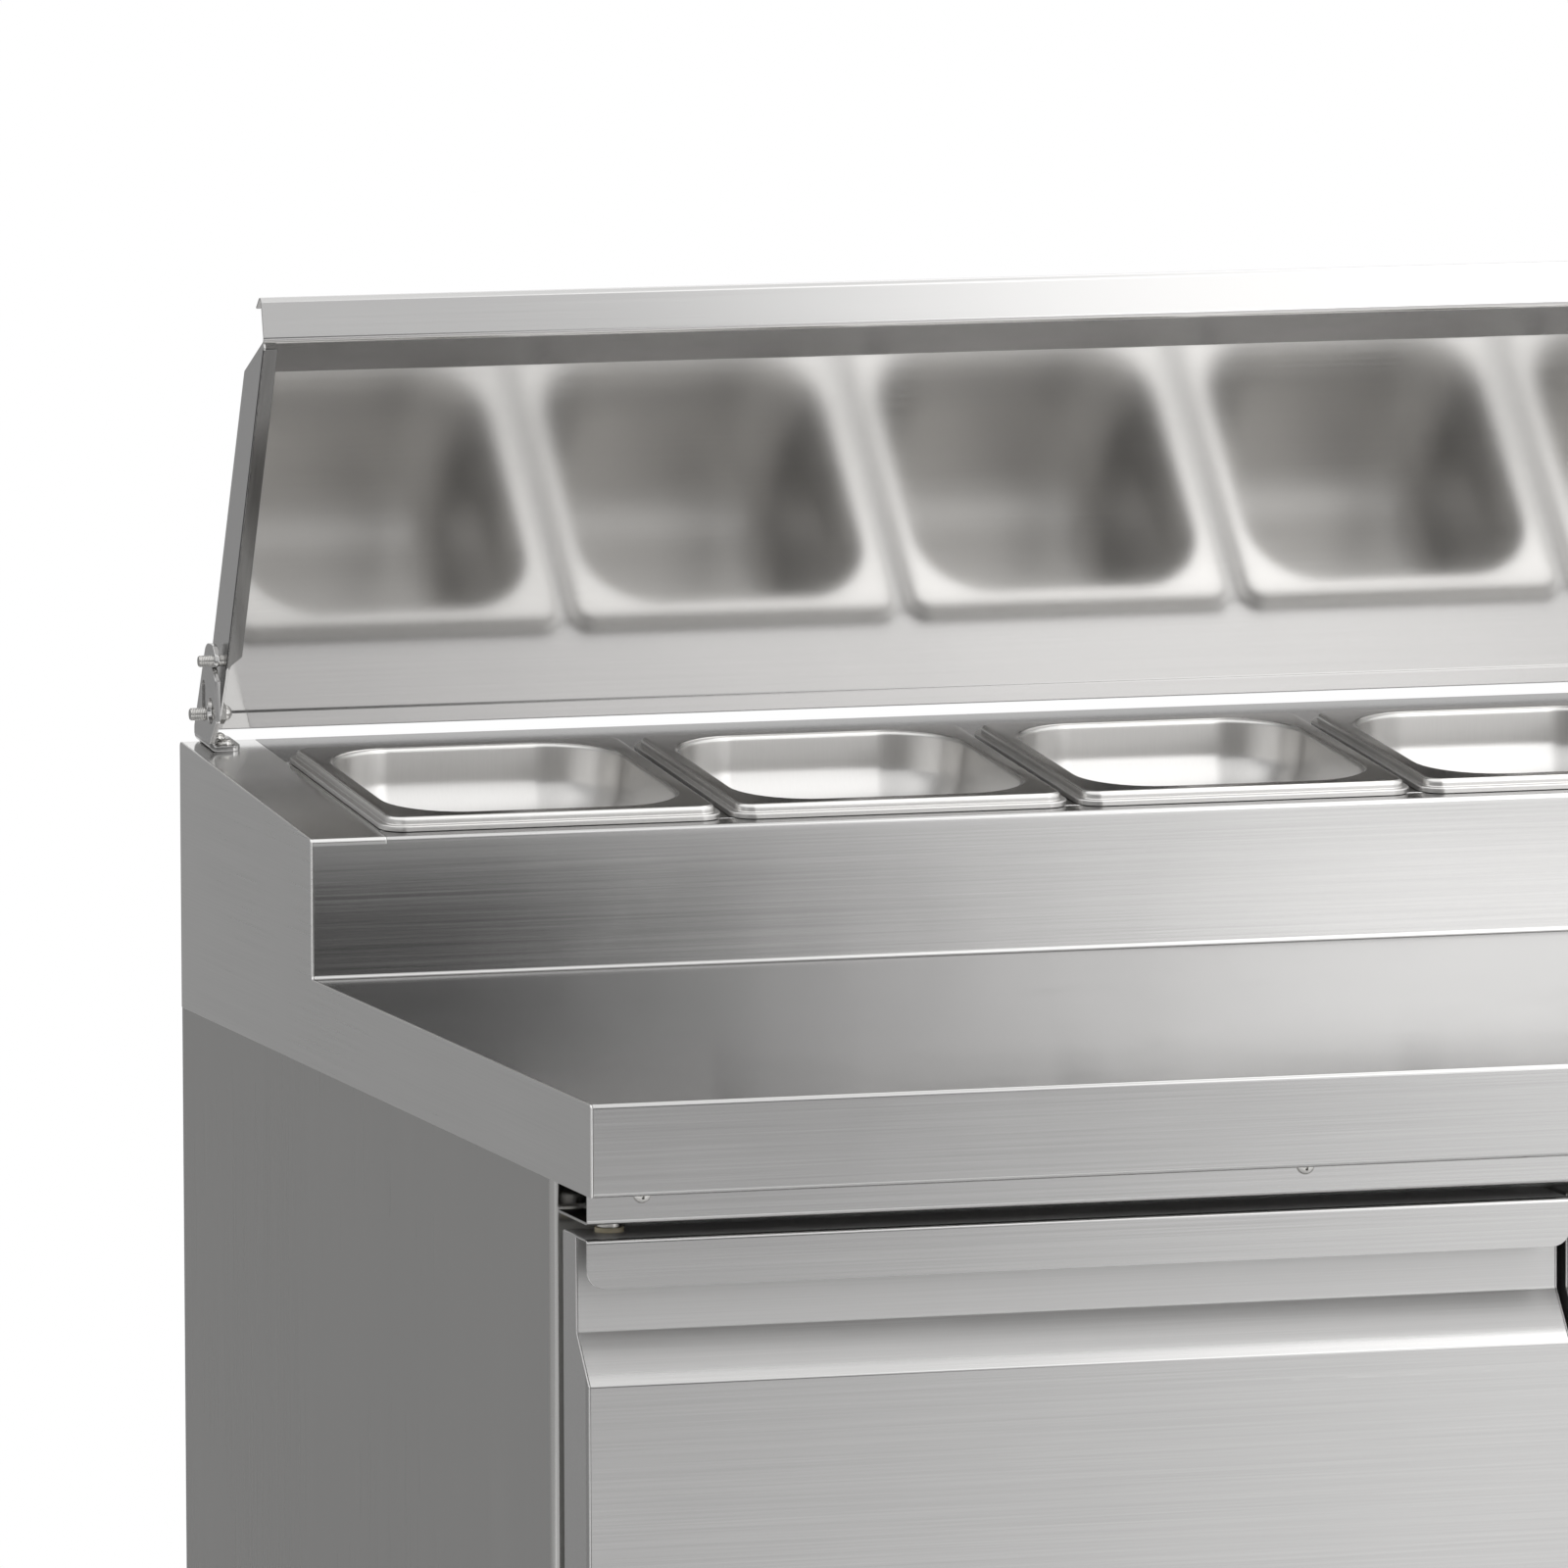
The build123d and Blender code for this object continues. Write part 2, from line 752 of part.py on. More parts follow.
# Side panels: plain sheets with a rounded hem at the front
with BuildPart() as left_side_panel:
    with BuildSketch(Plane.XY.offset(foot_height)):
        fold(
            [(-frame_half, body_front), (-side_outer, body_front), (-side_outer, back_inner)],
            hem_bend,
            sheet,
        )
    extrude(amount=apron_bottom - foot_height)
save(left_side_panel, "left_side_panel")
save_mirrored(left_side_panel, "right_side_panel")

# Back panel with the vents of the machine compartment and the cord hole
machine_middle = (foot_height + lower_rail_z) / 2
gland_z = foot_height + gland_level
with BuildPart() as back_panel:
    with BuildSketch(Plane.XZ.offset(-back_inner)):
        with Locations((0, (foot_height + apron_bottom) / 2)):
            Rectangle(2 * side_outer, apron_bottom - foot_height)
        with Locations((0, machine_middle)):
            with GridLocations(vent_pitch_x, vent_pitch, vent_columns, vent_rows):
                SlotOverall(vent_length, vent_width, mode=Mode.SUBTRACT)
        with Locations((gland_x, gland_z)):
            Circle(gland_radius, mode=Mode.SUBTRACT)
    extrude(amount=-sheet)
save(back_panel, "back_panel")

# Base tray with turned-up edges and the threaded sockets of the feet
foot_x = half_width - foot_inset_x
foot_rows = (body_front + foot_inset_y, rear_y - foot_inset_y)
foot_places = [(x, y) for y in foot_rows for x in (-foot_x, foot_x)]
with BuildPart() as base_tray:
    with BuildSketch(Plane.XY.offset(foot_height)):
        with Locations((0, tray_y)):
            RectangleRounded(tray_width, tray_depth, hem_bend)
    extrude(amount=tray_edge)
    with BuildSketch(Plane.XY.offset(base_top)):
        with Locations((0, tray_y)):
            RectangleRounded(tray_width - 2 * sheet, tray_depth - 2 * sheet, hem_bend - sheet)
    extrude(amount=tray_edge, mode=Mode.SUBTRACT)
    for x, y in foot_places:
        rod((x, y, foot_height), (0, 0, 1), foot_socket_radius, foot_socket_height)
        rod(
            (x, y, foot_height),
            (0, 0, 1),
            foot_stem_radius + running_clearance,
            foot_socket_height,
            Mode.SUBTRACT,
        )
save(base_tray, "base_tray")

# Adjustable feet, screwed fully home
foot_names = ("front_left", "front_right", "rear_left", "rear_right")
for (x, y), corner in zip(foot_places, foot_names):
    neck_start = foot_pad_height + foot_cone_height
    neck_end = foot_height - seat_clearance
    with BuildPart() as foot:
        rod((x, y, 0), (0, 0, 1), foot_pad_radius, foot_pad_height)
        with Locations((x, y, foot_pad_height)):
            Cone(foot_pad_radius, foot_neck_radius, foot_cone_height, align=upright)
        rod((x, y, neck_start), (0, 0, 1), foot_neck_radius, neck_end - neck_start)
        rod((x, y, neck_end), (0, 0, 1), foot_stem_radius, foot_socket_height)
    save(foot, f"foot_{corner}")

# Front frame: header, sill and centre mullion with its post
with BuildPart() as front_frame:
    with BuildSketch(Plane.XZ.offset(-body_front)):
        with Locations((0, (frame_top + deck_under) / 2)):
            Rectangle(2 * frame_half, deck_under - frame_top)
        with Locations((0, (lower_rail_z + frame_bottom) / 2)):
            Rectangle(2 * frame_half, frame_bottom - lower_rail_z)
        with Locations((0, (frame_bottom + frame_top) / 2)):
            Rectangle(mullion_width, frame_top - frame_bottom)
    extrude(amount=-sheet)
    with BuildSketch(Plane.XY.offset(frame_bottom)):
        with Locations((0, frame_back + mullion_depth / 2)):
            Rectangle(mullion_width, mullion_depth)
        with Locations((0, frame_back + (mullion_depth - sheet) / 2)):
            Rectangle(mullion_width - 2 * sheet, mullion_depth - sheet, mode=Mode.SUBTRACT)
    extrude(amount=frame_top - frame_bottom)
save(front_frame, "front_frame")

# Pipe routes, placed here because the floor, liner and insulation carry their channels
pipe_z = base_top + compressor_height / 2
condenser_front = body_front + condenser_front_gap
condenser_pipe_y = condenser_front + condenser_depth / 2
condenser_right = condenser_x + condenser_width / 2
coil_half = coil_width / 2
housing_half = coil_half + housing_margin
housing_bottom = frame_bottom + housing_level
housing_height = coil_height + 2 * housing_margin
coil_middle = housing_bottom + housing_height / 2
coil_y = liner_back - coil_depth / 2
riser_y = rear_y - riser_setback
stub_end = compressor_radius + stub_length
discharge = [
    (compressor_x - stub_end, compressor_y, pipe_z),
    (pipe_lane_x, compressor_y, pipe_z),
    (pipe_lane_x, condenser_pipe_y, pipe_z),
    (condenser_right, condenser_pipe_y, pipe_z),
]
suction = [
    (compressor_x + stub_end, compressor_y, pipe_z),
    (riser_x, compressor_y, pipe_z),
    (riser_x, riser_y, pipe_z),
    (riser_x, riser_y, coil_middle),
    (riser_x, coil_y, coil_middle),
    (housing_half, coil_y, coil_middle),
]
channel_radius = pipe_radius + pipe_clearance

# Floor of the cold cabinet over the machine compartment
with BuildPart() as cabinet_floor:
    with BuildSketch(Plane.XY.offset(lower_rail_z)):
        with Locations((0, tray_y)):
            RectangleRounded(tray_width, tray_depth, hem_bend)
        with Locations((riser_x, riser_y)):
            Circle(channel_radius, mode=Mode.SUBTRACT)
    extrude(amount=sheet)
save(cabinet_floor, "cabinet_floor")

# Inner liner: the cold chamber, open to the front and open upwards below the pans
with BuildPart() as liner_outside:
    outer_span = (-frame_half, frame_half)
    block(outer_span, (frame_back, liner_back + liner_wall), (frame_bottom - liner_wall, frame_top + liner_wall))
    block(outer_span, (well_front - liner_wall, liner_back + liner_wall), (frame_bottom, well_top))
with BuildPart() as inner_liner:
    add(liner_outside.part)
    inner_span = (-liner_half, liner_half)
    block(inner_span, (frame_back - sheet, liner_back), (frame_bottom, frame_top), Mode.SUBTRACT)
    block(inner_span, (well_front, liner_back), (frame_bottom, well_top + sheet), Mode.SUBTRACT)
    pipe_run(suction, channel_radius, Mode.SUBTRACT)
save(inner_liner, "inner_liner")

# Insulation foam between the liner and the outer sheets
with BuildPart() as insulation:
    with BuildSketch(Plane.XY.offset(floor_top)):
        with Locations((0, tray_y)):
            RectangleRounded(tray_width, tray_depth, hem_bend)
    extrude(amount=deck_under - floor_top)
    block((-side_inner, side_inner), (rail_front_y + sheet, back_inner), (apron_bottom, well_top))
    add(liner_outside.part, mode=Mode.SUBTRACT)
    pipe_run(suction, channel_radius, Mode.SUBTRACT)
save(insulation, "insulation")

# Upper hinge rail: a channel under the deck, behind the apron
rail_screw_z = worktop_height - rail_screw_drop
rail_screw_x = [half_width - rail_screw_from_side - step * rail_screw_spacing for step in range(2)]
rail_screws = [side * x for x in rail_screw_x for side in (-1, 1)]
with BuildPart() as upper_hinge_rail:
    with BuildSketch(Plane.YZ.offset(-side_inner)):
        fold(
            [
                (front_y + rail_flange_end, upper_rail_z),
                (rail_front, upper_rail_z),
                (rail_front, deck_under),
                (rail_front + rail_top_flange, deck_under),
            ],
            bend,
            sheet,
        )
    extrude(amount=2 * side_inner)
    for x in rail_screws:
        rod((x, rail_front - sheet, rail_screw_z), (0, 1, 0), screw_radius, 3 * sheet, Mode.SUBTRACT)
    for x in (-pivot_x, pivot_x):
        rod((x, pivot_y, upper_rail_z - sheet), (0, 0, 1), pin_radius, 3 * sheet, Mode.SUBTRACT)
save(upper_hinge_rail, "upper_hinge_rail")

# Lower hinge rail: an angle under the doors
with BuildPart() as lower_hinge_rail:
    with BuildSketch(Plane.YZ.offset(-side_inner)):
        fold(
            [
                (rail_front, lower_rail_z - lower_rail_lip),
                (rail_front, lower_rail_z),
                (body_front, lower_rail_z),
            ],
            bend,
            sheet,
        )
    extrude(amount=2 * side_inner)
    for x in (-pivot_x, pivot_x):
        rod((x, pivot_y, lower_rail_z - 2 * sheet), (0, 0, 1), pin_radius, 3 * sheet, Mode.SUBTRACT)
save(lower_hinge_rail, "lower_hinge_rail")

# Hinge pins, riveted through the rails, with the collar that spaces the door
collar_height = door_rail_gap - bush_flange - seat_clearance
with BuildPart() as hinge_pins:
    for x in (-pivot_x, pivot_x):
        for level, direction in ((upper_rail_z, -1), (lower_rail_z, 1)):
            along = Vector(0, 0, direction)
            root = Vector(x, pivot_y, level)
            rod(root - along * sheet, along, pin_radius, sheet + door_rail_gap + pin_engagement)
            rod(root, along, collar_radius, collar_height)
            rod(root - along * sheet, -along, pin_head_radius, pin_head_height)
save(hinge_pins, "hinge_pins")

# Screws of the upper hinge rail and of the lid brackets
with BuildPart() as fixing_screws:
    for x in rail_screws:
        rod((x, rail_front, rail_screw_z), (0, 1, 0), screw_radius, 2 * sheet)
        domed(
            Vector(x, rail_front, rail_screw_z),
            Vector(0, -1, 0),
            screw_head_radius,
            screw_head_height,
            screw_head_dome,
        )
    for x in (-bracket_screw_x, bracket_screw_x):
        for screw_along in bracket_screws:
            screw_seat = rail_point(x, screw_along, bracket_thickness)
            rod(screw_seat, -rail_up, screw_radius, bracket_thickness + 2 * sheet)
            domed(screw_seat, rail_up, screw_head_radius, screw_head_height, screw_head_dome)
save(fixing_screws, "fixing_screws")

# Doors. The left one is drawn and the right one mirrored. The block is skin and filling together.
door_left = -half_width + door_side_inset
door_right = -door_gap / 2
door_width = door_right - door_left
recess_y = door_front + recess_depth
lip_y = door_front + lip_setback
with BuildPart() as door_block:
    with BuildSketch(Plane.YZ.offset(door_left)):
        with BuildLine():
            FilletPolyline(
                (door_rear, door_bottom),
                (door_front, door_bottom),
                (door_front, door_top - recess_height - recess_slant),
                (recess_y, door_top - recess_height),
                (recess_y, door_top),
                radius=bend,
            )
            Polyline((recess_y, door_top), (door_rear, door_top), (door_rear, door_bottom))
        make_face()
    extrude(amount=door_width)
bush_places = (
    (Vector(-pivot_x, pivot_y, door_top), Vector(0, 0, -1)),
    (Vector(-pivot_x, pivot_y, door_bottom), Vector(0, 0, 1)),
)
with BuildPart() as left_door_skin:
    add(door_block.part)
    offset(amount=-door_skin, openings=left_door_skin.faces().sort_by(Axis.Y)[-1], kind=Kind.INTERSECTION)
with BuildPart() as left_door_inner:
    add(door_block.part)
    add(left_door_skin.part, mode=Mode.SUBTRACT)
    for bush_face, inward in bush_places:
        rod(bush_face, inward, bush_radius, bush_length, Mode.SUBTRACT)
    seal_left = -pivot_x + gasket_from_pivot
    seal_right = door_right - gasket_inset
    seal_width = seal_right - seal_left
    seal_height = door_top - door_bottom - 2 * gasket_inset
    seal_middle = Vector((seal_left + seal_right) / 2, door_rear, (door_top + door_bottom) / 2)
    seal_plane = Plane(seal_middle, x_dir=(1, 0, 0), z_dir=(0, 1, 0))
    dish_loss = 2 * (gasket_width + dish_border)
    with BuildSketch(seal_plane):
        RectangleRounded(seal_width - dish_loss, seal_height - dish_loss, dish_border)
    extrude(amount=dish_height, taper=dish_taper)
save(left_door_inner, "left_door_inner")
save_mirrored(left_door_inner, "right_door_inner")
with BuildPart() as left_door_front:
    add(left_door_skin.part)
    with BuildSketch(Plane.YZ.offset(door_left)):
        fold(
            [(lip_y, door_top - lip_height), (lip_y, door_top), (recess_y + door_skin, door_top)],
            bend,
            door_skin,
        )
    extrude(amount=door_width)
    lip_edges = left_door_front.edges().filter_by(Axis.Y)
    fillet(lip_edges.filter_by_position(Axis.Z, door_top - lip_height - door_skin, door_top - lip_height + door_skin), lip_corner)
    for bush_face, inward in bush_places:
        rod(bush_face, inward, bush_radius, bush_length, Mode.SUBTRACT)
save(left_door_front, "left_door_skin")
save_mirrored(left_door_front, "right_door_skin")

# Door gasket: a magnetic strip on a narrow neck round the inner panel
gasket_height = body_front - gasket_gap - door_rear
gasket_layers = (
    (0, 0, gasket_base),
    (gasket_neck_inset, gasket_base, gasket_neck),
    (0, gasket_base + gasket_neck, gasket_height - gasket_base - gasket_neck),
)
with BuildPart() as left_door_gasket:
    for inset, start, thickness in gasket_layers:
        inner_loss = 2 * (gasket_width - inset)
        with BuildSketch(seal_plane.offset(start)):
            Rectangle(seal_width - 2 * inset, seal_height - 2 * inset)
            Rectangle(seal_width - inner_loss, seal_height - inner_loss, mode=Mode.SUBTRACT)
        extrude(amount=thickness)
save(left_door_gasket, "left_door_gasket")
save_mirrored(left_door_gasket, "right_door_gasket")

# Nylon bushes that the door turns on
with BuildPart() as left_door_bushes:
    for bush_face, inward in bush_places:
        rod(bush_face, inward, bush_radius, bush_length)
        rod(bush_face, -inward, bush_flange_radius, bush_flange)
        rod(
            bush_face - inward * bush_flange,
            inward,
            pin_radius + running_clearance,
            bush_flange + bush_length,
            Mode.SUBTRACT,
        )
save(left_door_bushes, "left_door_bushes")
save_mirrored(left_door_bushes, "right_door_bushes")

# Shelf rails: an angle on each liner wall and a tee from the mullion to the rear wall
shelf_z = frame_bottom + shelf_level
shelf_front = frame_back + mullion_depth + shelf_rod
rail_start = frame_back + mullion_depth
with BuildPart() as shelf_rails:
    with BuildSketch(Plane.XZ.offset(-rail_start)):
        for side in (-1, 1):
            with Locations((side * (liner_half - shelf_rail_width / 2), shelf_z - shelf_rail_sheet / 2)):
                Rectangle(shelf_rail_width, shelf_rail_sheet)
            with Locations((side * (liner_half - shelf_rail_sheet / 2), shelf_z - shelf_rail_height / 2)):
                Rectangle(shelf_rail_sheet, shelf_rail_height)
        with Locations((0, shelf_z - shelf_rail_sheet / 2)):
            Rectangle(centre_rail_width, shelf_rail_sheet)
        with Locations((0, shelf_z - shelf_rail_height / 2)):
            Rectangle(shelf_rail_sheet, shelf_rail_height)
    extrude(amount=rail_start - liner_back)
save(shelf_rails, "shelf_rails")

# Wire shelves: a rod frame with wires across it
hexagon_half = cos(radians(30)) / 2
rod_z = shelf_z + shelf_rod * hexagon_half
wire_z = rod_z + (shelf_rod + shelf_wire) * hexagon_half - shelf_wire_sink
shelf_left = -liner_half + shelf_side_gap
shelf_right = -shelf_middle_gap
shelf_width = shelf_right - shelf_left
wire_pitch = (shelf_width - shelf_rod) / (shelf_wire_count + 1)
shelf_rear = shelf_front + shelf_depth
cross_rods = (shelf_front + shelf_rod / 2, shelf_front + shelf_depth / 2, shelf_rear - shelf_rod / 2)
with BuildPart() as left_shelf:
    with BuildSketch(Plane.YZ.offset(shelf_left)):
        with Locations(*[(rod_y, rod_z) for rod_y in cross_rods]):
            RegularPolygon(shelf_rod / 2, 6)
    extrude(amount=shelf_width)
    with BuildSketch(Plane.XZ.offset(-shelf_front)):
        with Locations((shelf_left + shelf_rod / 2, rod_z), (shelf_right - shelf_rod / 2, rod_z)):
            RegularPolygon(shelf_rod / 2, 6)
        with Locations((shelf_left + shelf_width / 2, wire_z)):
            with GridLocations(wire_pitch, 0, shelf_wire_count, 1):
                RegularPolygon(shelf_wire / 2, 6)
    extrude(amount=-shelf_depth)
save(left_shelf, "left_shelf")
save_mirrored(left_shelf, "right_shelf")


def finned(middle, width, depth, height, fins, fin, plate):
    # A coil block: end plates above and below, with fins between them
    fin_pitch = (width - fin) / (fins - 1)
    with Locations(middle):
        Box(width, depth, height)
        with GridLocations(fin_pitch, 0, fins - 1, 1):
            Box(fin_pitch - fin, depth, height - 2 * plate, mode=Mode.SUBTRACT)


def fan(hub_front):
    # Hub and pitched blades, with the hub's front at the given place and the air moving along Y
    hub = Plane(hub_front, x_dir=(1, 0, 0), z_dir=(0, 1, 0))
    blade_length = fan_radius - fan_blade_root
    with Locations(hub):
        Cylinder(fan_hub_radius, fan_hub_length, align=upright)
    with Locations(hub.offset(fan_hub_length / 2)):
        with PolarLocations(fan_blade_root + blade_length / 2, fan_blades):
            Box(blade_length, fan_chord, fan_blade, rotation=(fan_blade_angle, 0, 0))
    rod(
        hub_front - Vector(0, sheet, 0),
        (0, 1, 0),
        shaft_radius + running_clearance,
        fan_hub_length + 2 * sheet,
        Mode.SUBTRACT,
    )


def fan_motor(hub_front):
    # Motor can behind the fan, with its shaft through the hub
    can_front = hub_front + Vector(0, fan_hub_length + motor_gap, 0)
    rod(can_front, (0, 1, 0), motor_radius, motor_length)
    rod(can_front, (0, -1, 0), shaft_radius, fan_hub_length)
    return can_front + Vector(0, motor_length, 0)


# Evaporator on the rear wall of the chamber
coil_centre = Vector(0, coil_y, coil_middle)
housing_front = liner_back - housing_depth
with BuildPart() as evaporator_coil:
    finned(coil_centre, coil_width, coil_depth, coil_height, coil_fins, coil_fin, coil_plate)
save(evaporator_coil, "evaporator_coil")
with BuildPart() as evaporator_housing:
    housing_z = (housing_bottom, housing_bottom + housing_height)
    block((-housing_half, housing_half), (housing_front, liner_back), housing_z)
    housing_span = (-housing_half + sheet, housing_half - sheet)
    housing_inside = (housing_bottom - sheet, housing_bottom + housing_height - sheet)
    block(housing_span, (housing_front + sheet, liner_back + sheet), housing_inside, Mode.SUBTRACT)
    rod(
        (0, housing_front - sheet, coil_middle),
        (0, 1, 0),
        fan_radius + fan_tip_gap,
        3 * sheet,
        Mode.SUBTRACT,
    )
save(evaporator_housing, "evaporator_housing")
cold_hub = Vector(0, housing_front + sheet + fan_front_gap, coil_middle)
with BuildPart() as evaporator_fan:
    fan(cold_hub)
save(evaporator_fan, "evaporator_fan")
with BuildPart() as evaporator_fan_motor:
    can_rear = fan_motor(cold_hub)
    strap_z = (coil_middle - motor_strap_width / 2, coil_middle + motor_strap_width / 2)
    block(housing_span, (can_rear.Y, can_rear.Y + motor_strap), strap_z)
save(evaporator_fan_motor, "evaporator_fan_motor")

# Condensing side in the machine compartment
condenser_middle_z = base_top + condenser_height / 2
shroud_front = condenser_front + condenser_depth
with BuildPart() as condenser:
    condenser_centre = Vector(condenser_x, condenser_pipe_y, condenser_middle_z)
    finned(
        condenser_centre,
        condenser_width,
        condenser_depth,
        condenser_height,
        condenser_fins,
        condenser_fin,
        condenser_plate,
    )
save(condenser, "condenser")
condenser_span = (condenser_x - condenser_width / 2, condenser_right)
with BuildPart() as condenser_shroud:
    block(condenser_span, (shroud_front, shroud_front + shroud_depth), (base_top, base_top + condenser_height))
    rod(
        (condenser_x, shroud_front - sheet, condenser_middle_z),
        (0, 1, 0),
        fan_radius + fan_tip_gap,
        shroud_depth + 2 * sheet,
        Mode.SUBTRACT,
    )
save(condenser_shroud, "condenser_shroud")
warm_hub = Vector(condenser_x, shroud_front + shroud_depth + fan_front_gap, condenser_middle_z)
with BuildPart() as condenser_fan:
    fan(warm_hub)
save(condenser_fan, "condenser_fan")
with BuildPart() as condenser_fan_motor:
    can_rear = fan_motor(warm_hub)
    strap_x = (condenser_x - motor_strap_width / 2, condenser_x + motor_strap_width / 2)
    block(strap_x, (can_rear.Y, can_rear.Y + motor_strap), (base_top, condenser_middle_z + motor_radius))
    block(strap_x, (can_rear.Y, can_rear.Y + motor_strap_width), (base_top, base_top + motor_strap))
save(condenser_fan_motor, "condenser_fan_motor")

# Compressor: a rounded can on its mounting plate, with the terminal box and two pipe stubs
with BuildPart() as compressor:
    can_z = base_top + compressor_plate
    rod((compressor_x, compressor_y, can_z), (0, 0, 1), compressor_radius, compressor_height - compressor_plate)
    can_edges = compressor.edges().filter_by(GeomType.CIRCLE).sort_by(Axis.Z)
    fillet(can_edges[-1], compressor_crown)
    plate_x = (compressor_x - compressor_plate_width / 2, compressor_x + compressor_plate_width / 2)
    plate_y = (compressor_y - compressor_plate_depth / 2, compressor_y + compressor_plate_depth / 2)
    block(plate_x, plate_y, (base_top, can_z))
    stub_root = compressor_radius - stub_length
    for side in (-1, 1):
        stub_start = Vector(compressor_x + side * stub_root, compressor_y, pipe_z)
        rod(stub_start, (side, 0, 0), stub_radius, stub_end - stub_root)
    box_x = (compressor_x - terminal_box / 2, compressor_x + terminal_box / 2)
    box_y = (compressor_y - compressor_radius - terminal_box / 2, compressor_y - compressor_radius / 2)
    block(box_x, box_y, (pipe_z - terminal_box / 2, pipe_z + terminal_box / 2))
save(compressor, "compressor")

# Refrigerant pipes: discharge line to the condenser and suction line from the coil housing
with BuildPart() as refrigerant_pipes:
    pipe_run(discharge, pipe_radius)
    pipe_run(suction, pipe_radius)
save(refrigerant_pipes, "refrigerant_pipes")

# Drip tray that takes the melt water
with BuildPart() as drip_tray:
    tray_x = (condenser_x - drip_tray_length / 2, condenser_x + drip_tray_length / 2)
    drip_y = (compressor_y - drip_tray_width / 2, compressor_y + drip_tray_width / 2)
    block(tray_x, drip_y, (base_top, base_top + drip_tray_height))
    drip_inside = (tray_x[0] + sheet, tray_x[1] - sheet)
    drip_depth = (drip_y[0] + sheet, drip_y[1] - sheet)
    block(drip_inside, drip_depth, (base_top + sheet, base_top + drip_tray_height + sheet), Mode.SUBTRACT)
save(drip_tray, "drip_tray")

# Cord gland in the back panel, flush with its outer face
with BuildPart() as cord_gland:
    rod((gland_x, rear_y, gland_z), (0, -1, 0), gland_radius, gland_length)
    rod((gland_x, back_inner, gland_z), (0, -1, 0), gland_flange_radius, gland_flange)
    rod((gland_x, rear_y + sheet, gland_z), (0, -1, 0), gland_bore, gland_length + 2 * sheet, Mode.SUBTRACT)
save(cord_gland, "cord_gland")

# Louvred panel of the machine compartment, a shallow box that stands flush with the doors
panel_half = half_width - panel_side_gap
panel_top = lower_rail_z - lower_rail_lip - panel_gap
panel_bottom = foot_height + panel_lift
panel_middle = (panel_top + panel_bottom) / 2
with BuildPart() as louvre_panel:
    block((-panel_half, panel_half), (rail_front, body_front), (panel_bottom, panel_top))
    block(
        (-panel_half + sheet, panel_half - sheet),
        (rail_front + sheet, body_front + sheet),
        (panel_bottom + sheet, panel_top - sheet),
        Mode.SUBTRACT,
    )
    for row in range(louvre_count):
        slot_top = panel_middle + (row - (louvre_count - 1) / 2) * louvre_pitch + louvre_opening / 2
        for side in (-1, 1):
            louvre_left = side * louvre_x - louvre_length / 2
            block(
                (louvre_left, louvre_left + louvre_length),
                (rail_front - sheet, rail_front + 2 * sheet),
                (slot_top - louvre_opening, slot_top),
                Mode.SUBTRACT,
            )
            with BuildSketch(Plane.YZ.offset(louvre_left)):
                with BuildLine():
                    Polyline(
                        (rail_front + sheet, slot_top),
                        (rail_front + sheet, slot_top + sheet),
                        (rail_front, slot_top + sheet),
                        (rail_front - louvre_depth, slot_top - louvre_opening + sheet),
                        (rail_front - louvre_depth, slot_top - louvre_opening),
                        (rail_front, slot_top),
                        close=True,
                    )
                make_face()
            extrude(amount=louvre_length)
    block(
        (-case_width / 2 - cutout_gap, case_width / 2 + cutout_gap),
        (rail_front - sheet, rail_front + 2 * sheet),
        (panel_middle - case_height / 2 - cutout_gap, panel_middle + case_height / 2 + cutout_gap),
        Mode.SUBTRACT,
    )
save(louvre_panel, "louvre_panel")

# Controller: bezel and case, with pockets for the window, the keys and the rocker
bezel_face = Plane((0, rail_front - bezel_depth, panel_middle), x_dir=(1, 0, 0), z_dir=(0, -1, 0))
key_places = [key_first_x + number * key_pitch for number in range(key_count)]
rocker_place = Vector(switch_x, rail_front - bezel_depth + switch_pivot_depth, panel_middle)
with BuildPart() as controller:
    with BuildSketch(bezel_face):
        RectangleRounded(bezel_width, bezel_height, bezel_corner)
    extrude(amount=-bezel_depth)
    fillet(controller.faces().sort_by(Axis.Y)[0].edges(), bezel_edge)
    with BuildSketch(bezel_face.offset(-bezel_depth)):
        Rectangle(case_width, case_height)
    extrude(amount=-case_depth)
    with BuildSketch(bezel_face):
        with Locations((window_x, 0)):
            Rectangle(window_width, window_height)
    extrude(amount=-window_depth, mode=Mode.SUBTRACT)
    with BuildSketch(bezel_face):
        with Locations(*[(key_x, 0) for key_x in key_places]):
            Rectangle(key_width + 2 * key_gap, key_height + 2 * key_gap)
    extrude(amount=-(key_depth + key_travel + key_gap), mode=Mode.SUBTRACT)
    with BuildSketch(bezel_face):
        with Locations((switch_x, 0)):
            Rectangle(switch_width + 2 * switch_pocket_gap, 2 * switch_pocket_half)
    extrude(amount=-switch_pocket_depth, mode=Mode.SUBTRACT)
    pin_half = switch_width / 2 + switch_pin_length + switch_pocket_gap
    rod(
        rocker_place - Vector(pin_half, 0, 0),
        (1, 0, 0),
        switch_pin + running_clearance,
        2 * pin_half,
        Mode.SUBTRACT,
    )
save(controller, "controller")
with BuildPart() as controller_window:
    with BuildSketch(bezel_face):
        with Locations((window_x, 0)):
            Rectangle(window_width, window_height)
    extrude(amount=-window_depth)
save(controller_window, "controller_window")
for number, key_x in enumerate(key_places):
    with BuildPart() as key:
        with BuildSketch(bezel_face.offset(-key_depth)):
            with Locations((key_x, 0)):
                Rectangle(key_width, key_height)
        extrude(amount=key_depth + key_proud)
        fillet(key.faces().sort_by(Axis.Y)[0].edges(), key_proud / 2)
    save(key, f"controller_key_{number + 1}")

